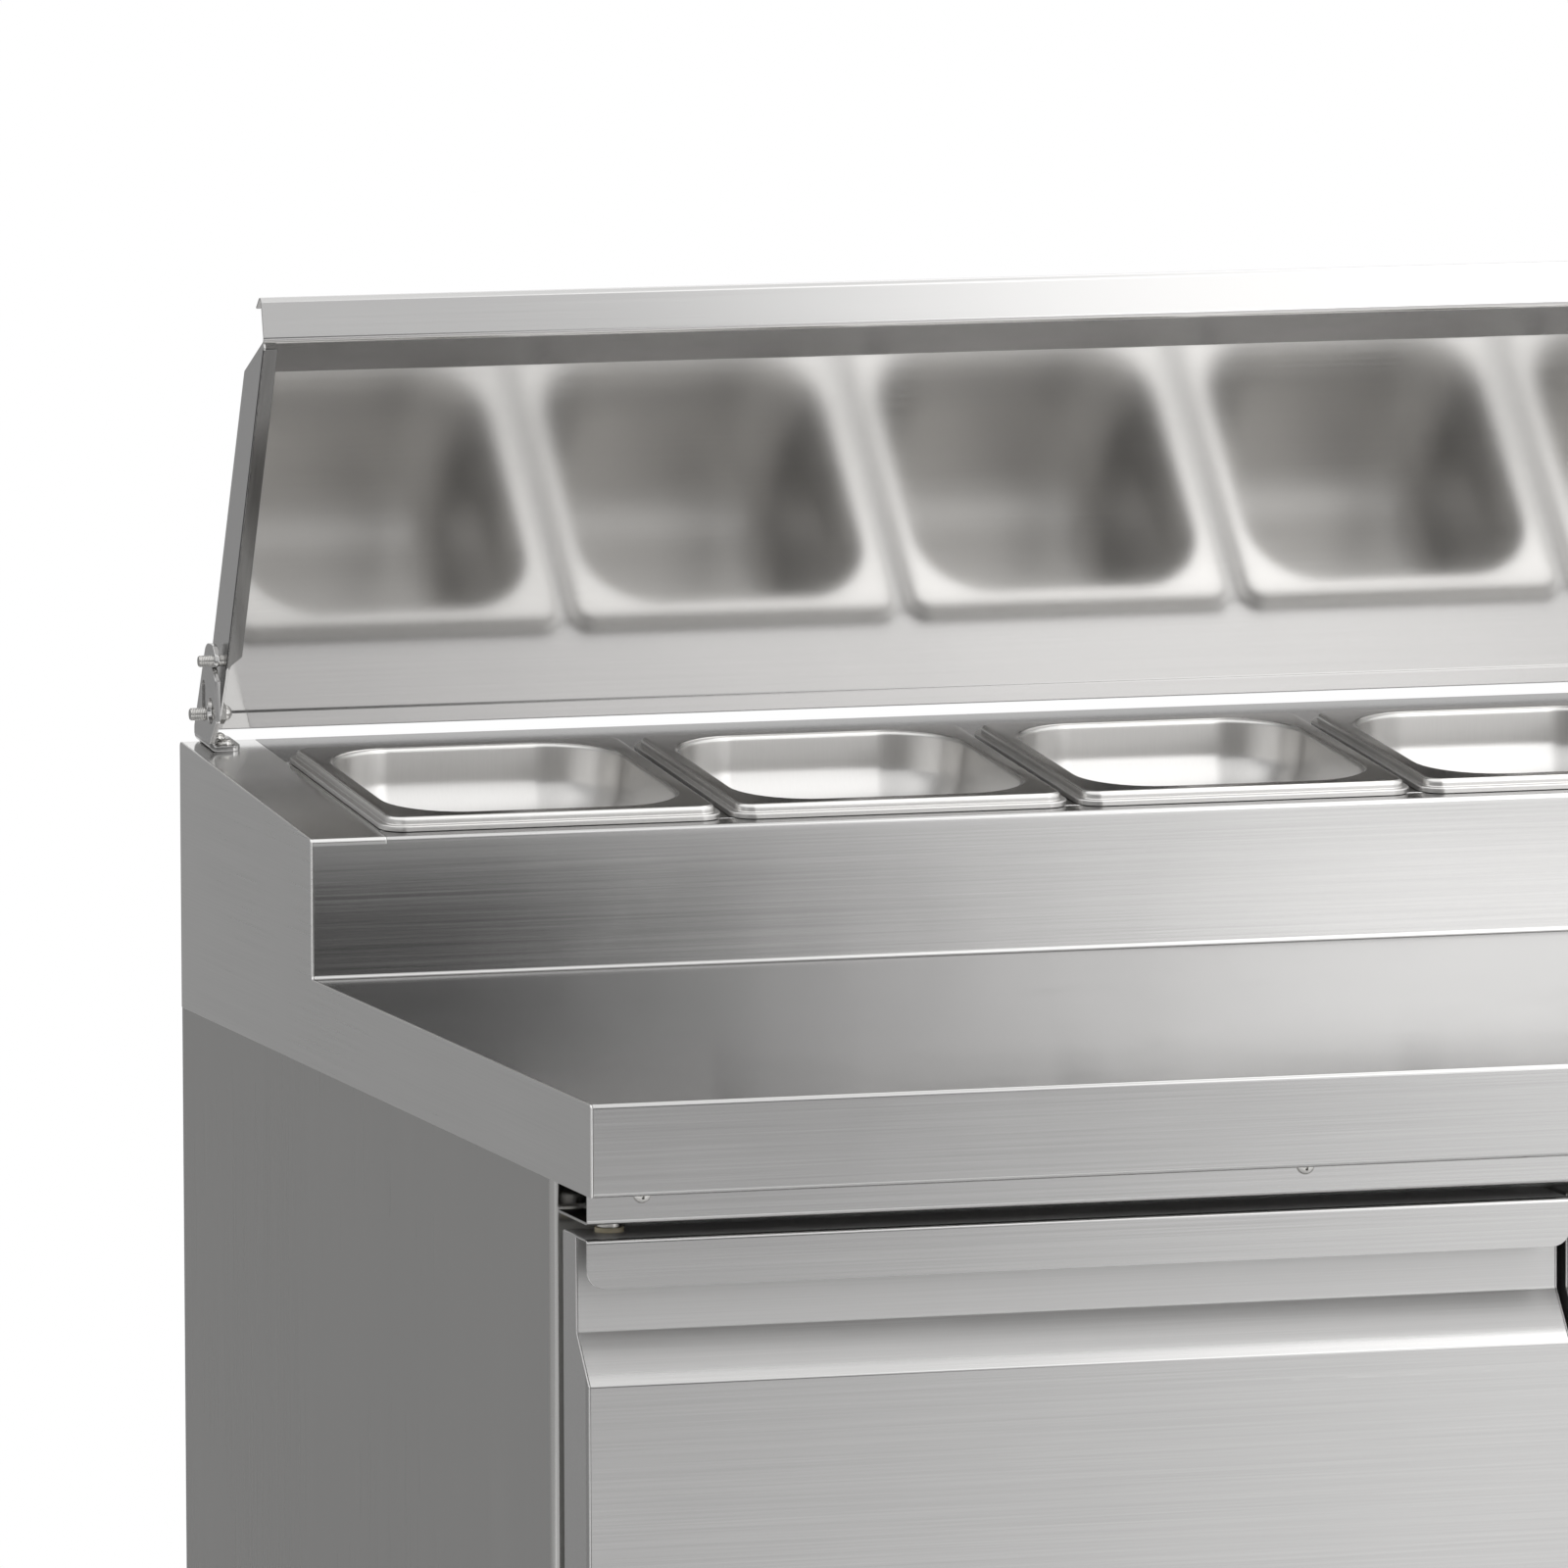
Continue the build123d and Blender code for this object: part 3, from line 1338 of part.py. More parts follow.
# Power switch: a rocker with a hollowed face, lying with its lower end pressed
rocker_up = Vector(0, -sin(radians(switch_tilt)), cos(radians(switch_tilt)))
rocker_plane = Plane(rocker_place - Vector(switch_width / 2, 0, 0), x_dir=rocker_up, z_dir=(1, 0, 0))
with BuildPart() as power_switch:
    with BuildSketch(rocker_plane):
        with BuildLine():
            Polyline(
                (-switch_half, switch_pivot_depth + switch_crown),
                (0, switch_pivot_depth + switch_hollow),
                (switch_half, switch_pivot_depth + switch_crown),
                (switch_half - switch_side_inset, 0),
                (switch_half - switch_belly_inset, -switch_belly),
                (switch_belly_inset - switch_half, -switch_belly),
                (switch_side_inset - switch_half, 0),
                close=True,
            )
        make_face()
    extrude(amount=switch_width)
    pin_reach = switch_width / 2 + switch_pin_length
    rod(rocker_place - Vector(pin_reach, 0, 0), (1, 0, 0), switch_pin, 2 * pin_reach)
save(power_switch, "power_switch")
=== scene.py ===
from math import atan2, cos, hypot, pi, radians, sin

import bmesh
import bpy
import numpy as np
from mathutils import Matrix, Vector


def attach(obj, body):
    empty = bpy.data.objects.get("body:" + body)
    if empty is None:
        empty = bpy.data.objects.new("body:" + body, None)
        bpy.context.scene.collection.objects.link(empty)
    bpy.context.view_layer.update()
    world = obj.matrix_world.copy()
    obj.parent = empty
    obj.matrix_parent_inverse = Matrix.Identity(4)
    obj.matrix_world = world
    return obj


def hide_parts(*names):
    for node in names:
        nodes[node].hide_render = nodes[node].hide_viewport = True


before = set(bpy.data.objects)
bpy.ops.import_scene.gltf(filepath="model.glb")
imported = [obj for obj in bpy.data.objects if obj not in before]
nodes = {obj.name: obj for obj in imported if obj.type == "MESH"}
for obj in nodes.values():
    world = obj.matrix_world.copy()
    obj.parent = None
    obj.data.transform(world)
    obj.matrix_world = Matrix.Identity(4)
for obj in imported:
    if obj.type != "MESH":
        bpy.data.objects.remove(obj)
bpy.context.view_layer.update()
mm = 0.001  # shapes are worked out in millimetres, meshes are in metres
print("frame loaded:", len(nodes), "nodes")

# Sizes that several pieces share
counter = {
    "halfWidth": 450.0, "front": -350.0, "rear": 350.0, "deck": 850.0, "apronBottom": 809.5, "sheet": 1.2,
    "bend": 2.0, "railFront": 113.8, "railTop": 914.0, "railTilt": 5.0, "railDepth": 236.2, "seam": 414.0,
    "seamDrop": 3.2,
}
tilt = radians(counter["railTilt"])
xAxis, yAxis, zAxis = np.eye(3)
railAlong = np.array([0, cos(tilt), sin(tilt)])
railUp = np.array([0, -sin(tilt), cos(tilt)])
railOrigin = np.array([0, counter["railFront"], counter["railTop"]])
railRearTop = counter["railTop"] + counter["railDepth"] * sin(tilt) / cos(tilt)
innerHalf = counter["halfWidth"] - counter["sheet"]


def railPoint(x, along, up):
    # a place on the tilted pan rail: along it from its front edge, up from its surface
    return np.array([x, 0, 0]) + railOrigin + railAlong * along + railUp * up


def railSection(along, up):
    return tuple(railPoint(0, along, up)[1:])


def onCircle(angle):
    # points of the unit circle, one for each angle
    return np.stack([np.cos(angle), np.sin(angle)], -1)


def roundAngles(count):
    return np.arange(count) * 2 * pi / count


def laidOut(axes, flat, depth):
    # points of a plane, and their depth through it, put in their place
    origin, across, upward, through = axes
    return np.asarray(origin) + flat[..., :1] * across + flat[..., 1:] * upward + depth * through


# Surfaces. A shell is (points, list of face index arrays), always closed.
def gridFaces(rows, cols, wrapRows=False):
    # quads between neighbours on a rows by cols grid of closed rings
    row, col = np.meshgrid(np.arange(rows - (not wrapRows)), np.arange(cols), indexing="ij")
    nextRow, nextCol = (row + 1) % rows, (col + 1) % cols
    corners = [row * cols + col, row * cols + nextCol, nextRow * cols + nextCol, nextRow * cols + col]
    return np.stack(corners, -1).reshape(-1, 4)


def ringStack(rings):
    # closed rings, one after the other, with a flat cap on the first and last
    rings = np.asarray(rings)
    rows, cols = rings.shape[:2]
    first = np.arange(cols)[None, ::-1]
    last = np.arange(cols)[None] + (rows - 1) * cols
    return rings.reshape(-1, 3), [gridFaces(rows, cols), first, last]


def ringLoop(rings):
    # closed rings whose last one joins the first
    return rings.reshape(-1, 3), [gridFaces(*rings.shape[:2], wrapRows=True)]


def bendLine(corners, radius, steps=6):
    # a folded line: every corner becomes the arc of that radius that touches both runs.
    # gives the points and, for each, the direction square to the line on its right
    corners = np.asarray(corners, float)
    radii = np.broadcast_to(radius, len(corners) - 2)
    runs = np.diff(corners, axis=0)
    runs = runs / np.linalg.norm(runs, axis=1)[:, None]
    right = np.stack([runs[:, 1], -runs[:, 0]], 1)
    points, sides = [corners[:1]], [right[:1]]
    for here, before, after, square, r in zip(corners[1:-1], runs, runs[1:], right, radii):
        turn = atan2(before[0] * after[1] - before[1] * after[0], before @ after)
        if abs(turn) < 1e-6:
            points.append(here[None])
            sides.append(square[None])
            continue
        hand = np.sign(turn)
        start = here - before * r * np.tan(abs(turn) / 2)
        centre = start - square * hand * r
        angle = turn * np.linspace(0, 1, steps + 1)
        spun = np.stack([square[0] * np.cos(angle) - square[1] * np.sin(angle),
                         square[0] * np.sin(angle) + square[1] * np.cos(angle)], 1)
        points.append(centre + spun * hand * r)
        sides.append(spun)
    points.append(corners[-1:])
    sides.append(right[-1:])
    return np.concatenate(points), np.concatenate(sides)


def roundOutline(corners, radius, steps=5):
    # the same bends on a closed outline, started in the middle of its first run
    corners = np.asarray(corners, float)
    radii = list(np.broadcast_to(radius, len(corners)))
    middle = (corners[0] + corners[1]) / 2
    loop = np.concatenate([[middle], corners[1:], corners[:1], [middle]])
    return bendLine(loop, radii[1:] + radii[:1], steps)[0][:-1]


def roundRect(halfX, halfY, radius, steps=6):
    # four quarter circles at the corners of a rectangle, anticlockwise
    angle = (np.arange(4)[:, None] * pi / 2 + np.linspace(0, pi / 2, steps + 1)).ravel()
    signX = np.repeat([1, -1, -1, 1], steps + 1)
    signY = np.repeat([1, 1, -1, -1], steps + 1)
    x = signX * (halfX - radius) + radius * np.cos(angle)
    y = signY * (halfY - radius) + radius * np.sin(angle)
    return np.stack([x, y], 1)


def circleLine(centre, radius, count=32):
    return np.asarray(centre) + radius * onCircle(roundAngles(count))


def stadium(low, high, half, steps=9):
    # straight slot between two centres, half a circle at each end
    low, high = np.asarray(low, float), np.asarray(high, float)
    heading = atan2(*(high - low)[::-1])
    angle = np.linspace(-pi / 2, pi / 2, steps) + heading
    spoke = half * onCircle(angle)
    return np.concatenate([high + spoke, low - spoke])


def sheetAlong(line, sides, left, right, thickness, axes, edge=0.25, steps=2):
    # sheet metal: a rounded rectangle, sheet width by thickness, carried along the folded line.
    quarter = np.linspace(0, pi / 2, steps + 1)
    angle = (np.array([-pi / 2, 0, pi / 2, pi])[:, None] + quarter).ravel()
    onRight = np.repeat([True, True, False, False], steps + 1)
    inner = np.repeat([False, True, True, False], steps + 1)
    widthShift = np.where(onRight, -edge, edge) + edge * np.cos(angle)
    depth = np.where(inner, thickness - edge, edge) + edge * np.sin(angle)
    left, right = np.broadcast_to(left, len(line)), np.broadcast_to(right, len(line))
    flat = line[:, None] + sides[:, None] * depth[None, :, None]
    width = np.where(onRight, right[:, None], left[:, None]) + widthShift
    return ringStack(laidOut(axes, flat, width[..., None]))


def plateRings(outline, low, high, axes, edge, steps=3):
    # a flat plate: the outline, drawn in by the edge radius where it turns over into each face
    after = np.roll(outline, -1, axis=0)
    ahead = after - outline
    square = np.stack([ahead[:, 1], -ahead[:, 0]], 1) / np.linalg.norm(ahead, axis=1)[:, None]
    squareBefore = np.roll(square, 1, axis=0)
    normal = (squareBefore + square) / (1 + (squareBefore * square).sum(1))[:, None]
    area = (outline[:, 0] * after[:, 1] - after[:, 0] * outline[:, 1]).sum()
    normal = normal * np.sign(area)
    quarter = np.linspace(0, pi / 2, steps + 1)
    inset = np.concatenate([edge * (1 - np.sin(quarter)), edge * (1 - np.cos(quarter))])
    depth = np.concatenate([low + edge * (1 - np.cos(quarter)), high - edge * (1 - np.sin(quarter))])
    flat = outline[None] - normal[None] * inset[:, None, None]
    return ringStack(laidOut(axes, flat, depth[:, None, None]))


def cutPlate(outline, holes, low, high, axes, edge=0.3):
    # a plate with holes: the outlines filled as a flat curve with a rounded edge, then laid in its plane
    curve = bpy.data.curves.new("plateOutline", "CURVE")
    curve.dimensions, curve.fill_mode = "2D", "BOTH"
    curve.extrude = (high - low) / 2 - edge
    curve.bevel_depth, curve.bevel_resolution, curve.offset = edge, 2, -edge
    for loop in [outline, *holes]:
        spline = curve.splines.new("POLY")
        spline.points.add(len(loop) - 1)
        flat = np.column_stack([loop, np.zeros(len(loop)), np.ones(len(loop))])
        spline.points.foreach_set("co", flat.ravel())
        spline.use_cyclic_u = True
    holder = bpy.data.objects.new("plateOutline", curve)
    mesh = bpy.data.meshes.new_from_object(holder)
    mesh.calc_loop_triangles()
    points = np.zeros(len(mesh.vertices) * 3)
    mesh.vertices.foreach_get("co", points)
    triangles = np.zeros(len(mesh.loop_triangles) * 3, int)
    mesh.loop_triangles.foreach_get("vertices", triangles)
    points = points.reshape(-1, 3)
    bpy.data.objects.remove(holder)
    bpy.data.curves.remove(curve)
    bpy.data.meshes.remove(mesh)
    placed = laidOut(axes, points[:, :2], points[:, 2:] + (low + high) / 2)
    return placed, [triangles.reshape(-1, 3)]


def squareTo(direction):
    # two unit vectors square to a direction
    direction = np.asarray(direction, float) / np.linalg.norm(direction)
    helper = xAxis if abs(direction[0]) < 0.8 else yAxis
    first = np.cross(direction, helper)
    first = first / np.linalg.norm(first)
    return first, np.cross(direction, first), direction


def latheRings(profile, base, direction, count):
    # (radius, height) pairs spun round an axis
    first, second, along = squareTo(direction)
    angle = roundAngles(count)
    spoke = np.cos(angle)[:, None] * first + np.sin(angle)[:, None] * second
    profile = np.asarray(profile, float)
    return np.asarray(base) + profile[:, :1, None] * spoke + profile[:, 1:, None] * along


def turned(profile, base, direction, count=32):
    return ringStack(latheRings(profile, base, direction, count))


def tubeAlong(path, radius, count=12):
    # a round tube: circles square to the path's own direction
    path = np.asarray(path, float)
    heading = np.gradient(path, axis=0)
    heading = heading / np.linalg.norm(heading, axis=1)[:, None]
    first = np.cross(heading, np.ones(3))
    first = first / np.linalg.norm(first, axis=1)[:, None]
    second = np.cross(heading, first)
    angle = roundAngles(count)
    spoke = np.cos(angle)[:, None] * first[:, None] + np.sin(angle)[:, None] * second[:, None]
    return ringStack(path[:, None] + radius * spoke)


def mirrored(shell):
    return shell[0] * [-1, 1, 1], shell[1]


def quarterArc(centreR, centreH, radius, start, stop, steps=6):
    # part of a circle in a lathe profile
    angle = np.radians(np.linspace(start, stop, steps + 1))
    return np.array([centreR, centreH]) + radius * onCircle(angle)


def makePiece(name, shells, body, material, stands=(), sharp=32):
    # one object from closed shells: faces turned outwards, smooth but for its creases
    shift = np.cumsum([0] + [len(points) for points, _ in shells])
    points = np.concatenate([points for points, _ in shells]) * mm
    faces = [face for (_, arrays), step in zip(shells, shift)
             for array in arrays for face in (array + step).tolist()]
    mesh = bpy.data.meshes.new(name)
    mesh.from_pydata(points.tolist(), [], faces)
    work = bmesh.new()
    work.from_mesh(mesh)
    bmesh.ops.recalc_face_normals(work, faces=work.faces)
    work.to_mesh(mesh)
    work.free()
    mesh.shade_smooth()
    mesh.set_sharp_from_angle(angle=radians(sharp))
    mesh.materials.append(material)
    piece = bpy.data.objects.new(name, mesh)
    bpy.context.scene.collection.objects.link(piece)
    flat = piece.modifiers.new("flatFaces", "WEIGHTED_NORMAL")  # keeps wide flat faces flat beside a bend
    flat.keep_sharp = True
    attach(piece, body)
    if stands:
        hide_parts(*stands)
    return piece


def makePair(piece, shells, body, material, node):
    # the left piece and its mirror image on the right; {} in a name is the side
    for side, own in (("left", shells), ("right", [mirrored(shell) for shell in shells])):
        makePiece(piece.format(side), own, body.format(side), material, [node.format(side)])


# Shader nodes and node groups
def newGroup(name, inputs, outputs):
    group = bpy.data.node_groups.new(name, "ShaderNodeTree")
    for label, kind, value in inputs:
        socket = group.interface.new_socket(name=label, in_out="INPUT", socket_type=kind)
        socket.default_value = value
    for label, kind in outputs:
        group.interface.new_socket(name=label, in_out="OUTPUT", socket_type=kind)
    return group, group.nodes.new("NodeGroupInput"), group.nodes.new("NodeGroupOutput")


def addNode(tree, kind, inputs=None, **settings):
    node = tree.nodes.new("ShaderNode" + kind)
    for key, value in settings.items():
        setattr(node, key, value)
    for key, value in (inputs or {}).items():
        if isinstance(value, bpy.types.NodeSocket):
            tree.links.new(value, node.inputs[key])
        else:
            node.inputs[key].default_value = value
    return node


def objectPlace(tree):
    return addNode(tree, "TexCoord").outputs["Object"]


def maths(tree, operation, *values):
    return addNode(tree, "Math", dict(enumerate(values)), operation=operation).outputs[0]


def noiseAt(tree, place, scale, detail, more=None):
    inputs = {"Vector": place, "Scale": scale, "Detail": detail, **(more or {})}
    return addNode(tree, "TexNoise", inputs).outputs[0]


def stretched(tree, place, factors):
    return addNode(tree, "VectorMath", {0: place, 1: factors}, operation="MULTIPLY").outputs[0]


def rangeOf(tree, value, low, high, fromLow=0.3, fromHigh=0.7):
    return addNode(tree, "MapRange", {"Value": value, "From Min": fromLow, "From Max": fromHigh,
                                      "To Min": low, "To Max": high}).outputs[0]


markLook = {
    "lineDetail": 4.0, "cloudScale": 3.5, "cloudDetail": 3.0, "cloudRoughness": 0.55, "smudgeDetail": 5.0,
    "smudgeRoughness": 0.62, "smudgeDistortion": 0.6, "smudgeLevels": (0.56, 0.78), "scratchDetail": 2.0,
    "scratchLevels": (0.73, 0.77),
}


def grainGroup():
    # brushed grain: noise drawn out along one direction, fine lines plus slow bands across them
    group, given, result = newGroup("brushedGrain", [
        ("Stretch", "NodeSocketVector", (4, 900, 900)),
        ("Fine", "NodeSocketFloat", 0.6),
    ], [("Streak", "NodeSocketFloat"), ("Cloud", "NodeSocketFloat")])
    place = objectPlace(group)
    drawn = stretched(group, place, given.outputs["Stretch"])
    lines = noiseAt(group, drawn, 1.0, markLook["lineDetail"], {"Roughness": given.outputs["Fine"]})
    cloud = noiseAt(group, place, markLook["cloudScale"], markLook["cloudDetail"],
                    {"Roughness": markLook["cloudRoughness"]})
    group.links.new(lines, result.inputs["Streak"])
    group.links.new(cloud, result.inputs["Cloud"])
    return group


def wearGroup():
    # handling marks: soft smudges, and short scratches where two stretched noises agree
    group, given, result = newGroup("handlingMarks", [
        ("Smudge Scale", "NodeSocketFloat", 9.0),
        ("Scratch Stretch", "NodeSocketVector", (14, 260, 260)),
    ], [("Smudge", "NodeSocketFloat"), ("Scratch", "NodeSocketFloat")])
    place = objectPlace(group)
    soft = noiseAt(group, place, given.outputs["Smudge Scale"], markLook["smudgeDetail"],
                   {"Roughness": markLook["smudgeRoughness"], "Distortion": markLook["smudgeDistortion"]})
    smudge = rangeOf(group, soft, 0, 1, *markLook["smudgeLevels"])
    drawn = stretched(group, place, given.outputs["Scratch Stretch"])
    thin = noiseAt(group, drawn, 1.0, markLook["scratchDetail"])
    mark = rangeOf(group, thin, 0, 1, *markLook["scratchLevels"])
    group.links.new(smudge, result.inputs["Smudge"])
    group.links.new(maths(group, "MULTIPLY", mark, smudge), result.inputs["Scratch"])
    return group


brushedGrain, handlingMarks = grainGroup(), wearGroup()


def blankMaterial(name):
    material = bpy.data.materials.new(name)
    material.use_nodes = True
    tree = material.node_tree
    return material, tree, tree.nodes["Principled BSDF"]


def toneMix(tree, factor, dark, light):
    mix = addNode(tree, "Mix", {"Factor": factor}, data_type="RGBA")
    mix.inputs[6].default_value, mix.inputs[7].default_value = (*dark, 1), (*light, 1)
    return mix.outputs[2]


def steelFinish(name, look):
    # stainless steel: grain in tone, gloss and a faint bump, with handling marks over it
    look = {**steelCommon, **look}
    material, tree, shader = blankMaterial(name)
    grain = addNode(tree, "Group", node_tree=brushedGrain)
    grain.inputs["Stretch"].default_value = look["stretch"]
    streak, cloud = grain.outputs["Streak"], grain.outputs["Cloud"]
    marks = addNode(tree, "Group", node_tree=handlingMarks)
    marks.inputs["Scratch Stretch"].default_value = [v * look["scratchShare"] for v in look["stretch"]]
    tone, spread = np.array(look["tone"]), look["toneSpread"]
    color = toneMix(tree, rangeOf(tree, streak, 0, 1), tone * (1 - spread), tone * (1 + spread))
    bright = addNode(tree, "Mix", {"Factor": marks.outputs["Scratch"], 6: color}, data_type="RGBA")
    bright.inputs[7].default_value = (*np.minimum(tone * look["scratchLift"], 1), 1)
    tree.links.new(bright.outputs[2], shader.inputs["Base Color"])
    cloudRough = rangeOf(tree, cloud, -look["patchiness"], look["patchiness"])
    rough = maths(tree, "ADD", rangeOf(tree, streak, *look["roughness"]), cloudRough)
    rough = maths(tree, "MULTIPLY_ADD", marks.outputs["Smudge"], look["smudge"], rough)
    if look.get("handled"):
        # rubbed bright or dulled past a level along one direction, in millimetres
        rub = look["handled"]
        level = addNode(tree, "VectorMath", {0: objectPlace(tree), 1: rub["along"]}, operation="DOT_PRODUCT")
        start, stop = rub["levels"]
        share = rangeOf(tree, level.outputs["Value"], 0.0, rub["change"], start / 1000, stop / 1000)
        rough = maths(tree, "ADD", rough, share)
    tree.links.new(rough, shader.inputs["Roughness"])
    bump = addNode(tree, "Bump", {"Strength": look["bump"], "Distance": look["relief"], "Height": streak})
    if look.get("warp"):
        wave = addNode(tree, "Bump", {"Distance": look["warp"], "Height": cloud})
        tree.links.new(wave.outputs[0], bump.inputs["Normal"])
    tree.links.new(bump.outputs[0], shader.inputs["Normal"])
    shader.inputs["Metallic"].default_value = 1.0
    shader.inputs["Specular Tint"].default_value = (*[look["grazing"]] * 3, 1)
    if look.get("anisotropy"):
        shader.inputs["Anisotropic"].default_value = look["anisotropy"]
        shader.inputs["Anisotropic Rotation"].default_value = look["grainTurn"]
        heading = addNode(tree, "VectorTransform", {"Vector": look["grain"]}, vector_type="VECTOR",
                          convert_from="OBJECT", convert_to="WORLD")
        tree.links.new(heading.outputs[0], shader.inputs["Tangent"])
    return material


def plainFinish(name, look):
    # paint, plastic or rubber: mottled tone, uneven gloss and a fine moulded or cast bump
    look = {**plainCommon, **look}
    material, tree, shader = blankMaterial(name)
    place = objectPlace(tree)
    coarse = noiseAt(tree, place, look["mottle"], 5.0)
    fine = noiseAt(tree, place, look["fine"], 2.0)
    tone, spread = np.array(look["tone"]), look["spread"]
    light = np.minimum(tone * (1 + spread), 1)
    color = toneMix(tree, rangeOf(tree, coarse, 0, 1), tone * (1 - spread), light)
    tree.links.new(color, shader.inputs["Base Color"])
    tree.links.new(rangeOf(tree, coarse, *look["roughness"]), shader.inputs["Roughness"])
    bump = addNode(tree, "Bump", {"Strength": look["bump"], "Distance": look["relief"], "Height": fine})
    tree.links.new(bump.outputs[0], shader.inputs["Normal"])
    shader.inputs["Metallic"].default_value = 0.0
    return material


steelCommon = {
    "grazing": 0.62, "scratchShare": 0.28, "scratchLift": 1.25, "relief": 0.0002, "grainTurn": 0.25,
}
plainCommon = {"mottle": 25.0, "fine": 900.0, "spread": 0.12, "bump": 0.15, "relief": 0.0003}
alongX, alongY, alongZ = (1, 0.02, 0.013), (0.02, 1, 0.013), (0.02, 0.013, 1)
railHeight = float(railOrigin @ railUp)
steelColumns = ("tone", "toneSpread", "roughness", "patchiness", "smudge", "bump", "stretch")
steelLooks = {name: dict(zip(steelColumns, values)) for name, *values in [
    ("brushedSteel", (0.60, 0.595, 0.59), 0.045, (0.12, 0.16), 0.01, 0.03, 0.012, (6, 1100, 1100)),
    ("brushedSide", (0.56, 0.555, 0.545), 0.03, (0.27, 0.34), 0.02, 0.04, 0.03, (1100, 1100, 5)),
    # painted light: the end cheeks are the worktop's steel made paler, standing in for the light they catch
    ("brushedCheek", (0.80, 0.795, 0.785), 0.03, (0.27, 0.33), 0.015, 0.03, 0.02, (1100, 6, 1100)),
    ("polishedSheet", (0.60, 0.595, 0.59), 0.012, (0.13, 0.15), 0.006, 0.015, 0.004, (6, 700, 700)),
    # painted shade: the lid's side returns are the lid's steel made dark, standing in for the shade they sit
    # in
    ("shadedReturn", (0.22, 0.218, 0.215), 0.05, (0.16, 0.2), 0.01, 0.02, 0.01, (900, 30, 30)),
    # painted light: the pans' steel is paler than the rest, standing in for the light inside them
    ("drawnSteel", (0.82, 0.81, 0.795), 0.015, (0.29, 0.33), 0.008, 0.015, 0.004, (900, 900, 60)),
    ("linerSteel", (0.62, 0.62, 0.61), 0.04, (0.3, 0.4), 0.03, 0.05, 0.03, (700, 700, 8)),
    ("brightBolt", (0.66, 0.65, 0.63), 0.05, (0.12, 0.2), 0.03, 0.1, 0.03, (900, 900, 900)),
    ("galvanised", (0.50, 0.51, 0.52), 0.16, (0.38, 0.55), 0.08, 0.05, 0.03, (70, 70, 70)),
    ("finAluminium", (0.72, 0.73, 0.74), 0.06, (0.32, 0.42), 0.04, 0.05, 0.03, (500, 500, 40)),
    ("copperPipe", (0.72, 0.36, 0.22), 0.14, (0.22, 0.36), 0.06, 0.1, 0.02, (160, 160, 160)),
]}
steelLooks["brushedSteel"].update({"anisotropy": 0.55, "grain": alongX, "warp": 0.0004})
steelLooks["brushedCheek"].update({"anisotropy": 0.4, "grain": alongY})
steelLooks["polishedSheet"].update({"anisotropy": 0.2, "grain": alongX, "grazing": 0.82})
# the side panels' front fold is drawn bright by the bend, and the pans' rims are polished
steelLooks["brushedSide"].update({"anisotropy": 0.4, "grain": alongZ, "handled": {
    "along": -yAxis, "levels": (281.2, 282.6), "change": -0.19,
}})
steelLooks["drawnSteel"]["handled"] = {
    "along": railUp, "levels": (railHeight + 5.5, railHeight + 6.1), "change": -0.19,
}
plainLooks = {
    "blackGasket": {"tone": (0.018, 0.018, 0.019), "roughness": (0.5, 0.65), "bump": 0.1},
    "nylonBush": {"tone": (0.68, 0.60, 0.42), "roughness": (0.35, 0.45), "spread": 0.06},
    "foam": {"tone": (0.82, 0.74, 0.52), "roughness": (0.9, 0.98), "bump": 0.5, "fine": 400.0},
    "doorLiner": {"tone": (0.72, 0.72, 0.70), "roughness": (0.36, 0.46), "spread": 0.03, "bump": 0.06},
    "wireCoating": {"tone": (0.74, 0.74, 0.73), "roughness": (0.3, 0.4), "spread": 0.05, "bump": 0.08},
    "machinePaint": {"tone": (0.016, 0.016, 0.017), "roughness": (0.3, 0.45), "bump": 0.2, "fine": 500.0},
    "fanPlastic": {"tone": (0.03, 0.03, 0.032), "roughness": (0.4, 0.52), "bump": 0.1},
    "controlPlastic": {"tone": (0.022, 0.022, 0.024), "roughness": (0.42, 0.5), "bump": 0.25, "fine": 1600.0},
    "keyPlastic": {"tone": (0.075, 0.076, 0.08), "roughness": (0.4, 0.5), "bump": 0.12, "fine": 1600.0},
    "switchPlastic": {"tone": (0.02, 0.02, 0.021), "roughness": (0.22, 0.3), "bump": 0.05},
    "displayWindow": {"tone": (0.03, 0.004, 0.004), "roughness": (0.08, 0.12), "bump": 0.0, "spread": 0.2},
}
# the doors' steel is the worktop's, dulled by hands in the pull recess
steelLooks["doorSteel"] = {**steelLooks["brushedSteel"],
                           "handled": {"along": yAxis, "levels": (-336.5, -333.5), "change": 0.27}}
# the slanted cap strips are the lid's sheet, paler in tone and grazing tint: painted light where they catch
# more light
steelLooks["paintedLightStrip"] = {**steelLooks["polishedSheet"], "tone": (0.8, 0.795, 0.785), "grazing": 0.95}
finish = {name: steelFinish(name, look) for name, look in steelLooks.items()}
finish.update({name: plainFinish(name, look) for name, look in plainLooks.items()})
print("materials:", len(finish))

# Pieces that stand for CAD nodes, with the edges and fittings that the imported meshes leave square
sectionAxes = (np.zeros(3), yAxis, zAxis, xAxis)  # a side section: Y, Z, and X across the width


def roundedEnd(distance, radius):
    # how far a rounded corner stands in from its square end, at a distance from that end
    short = np.clip(radius - np.asarray(distance, float), 0, radius)
    return radius - np.sqrt(radius ** 2 - short ** 2)


def cornerSteps(radius, steps=6):
    # distances that follow a quarter circle closely
    return radius * (1 - np.cos(np.linspace(0, pi / 2, steps + 1)))


def seamedSheet(corners, seam, before, after, edge):
    # a folded sheet across the counter, whose half width changes at one place on its line
    line, sides = bendLine(corners, counter["bend"])
    seamRow = np.argmin(np.hypot(line[:, 0] - seam[0], line[:, 1] - seam[1]))
    half = np.where(np.arange(len(line)) > seamRow, after, before)
    return sheetAlong(line, sides, -half, half, counter["sheet"], sectionAxes, edge)


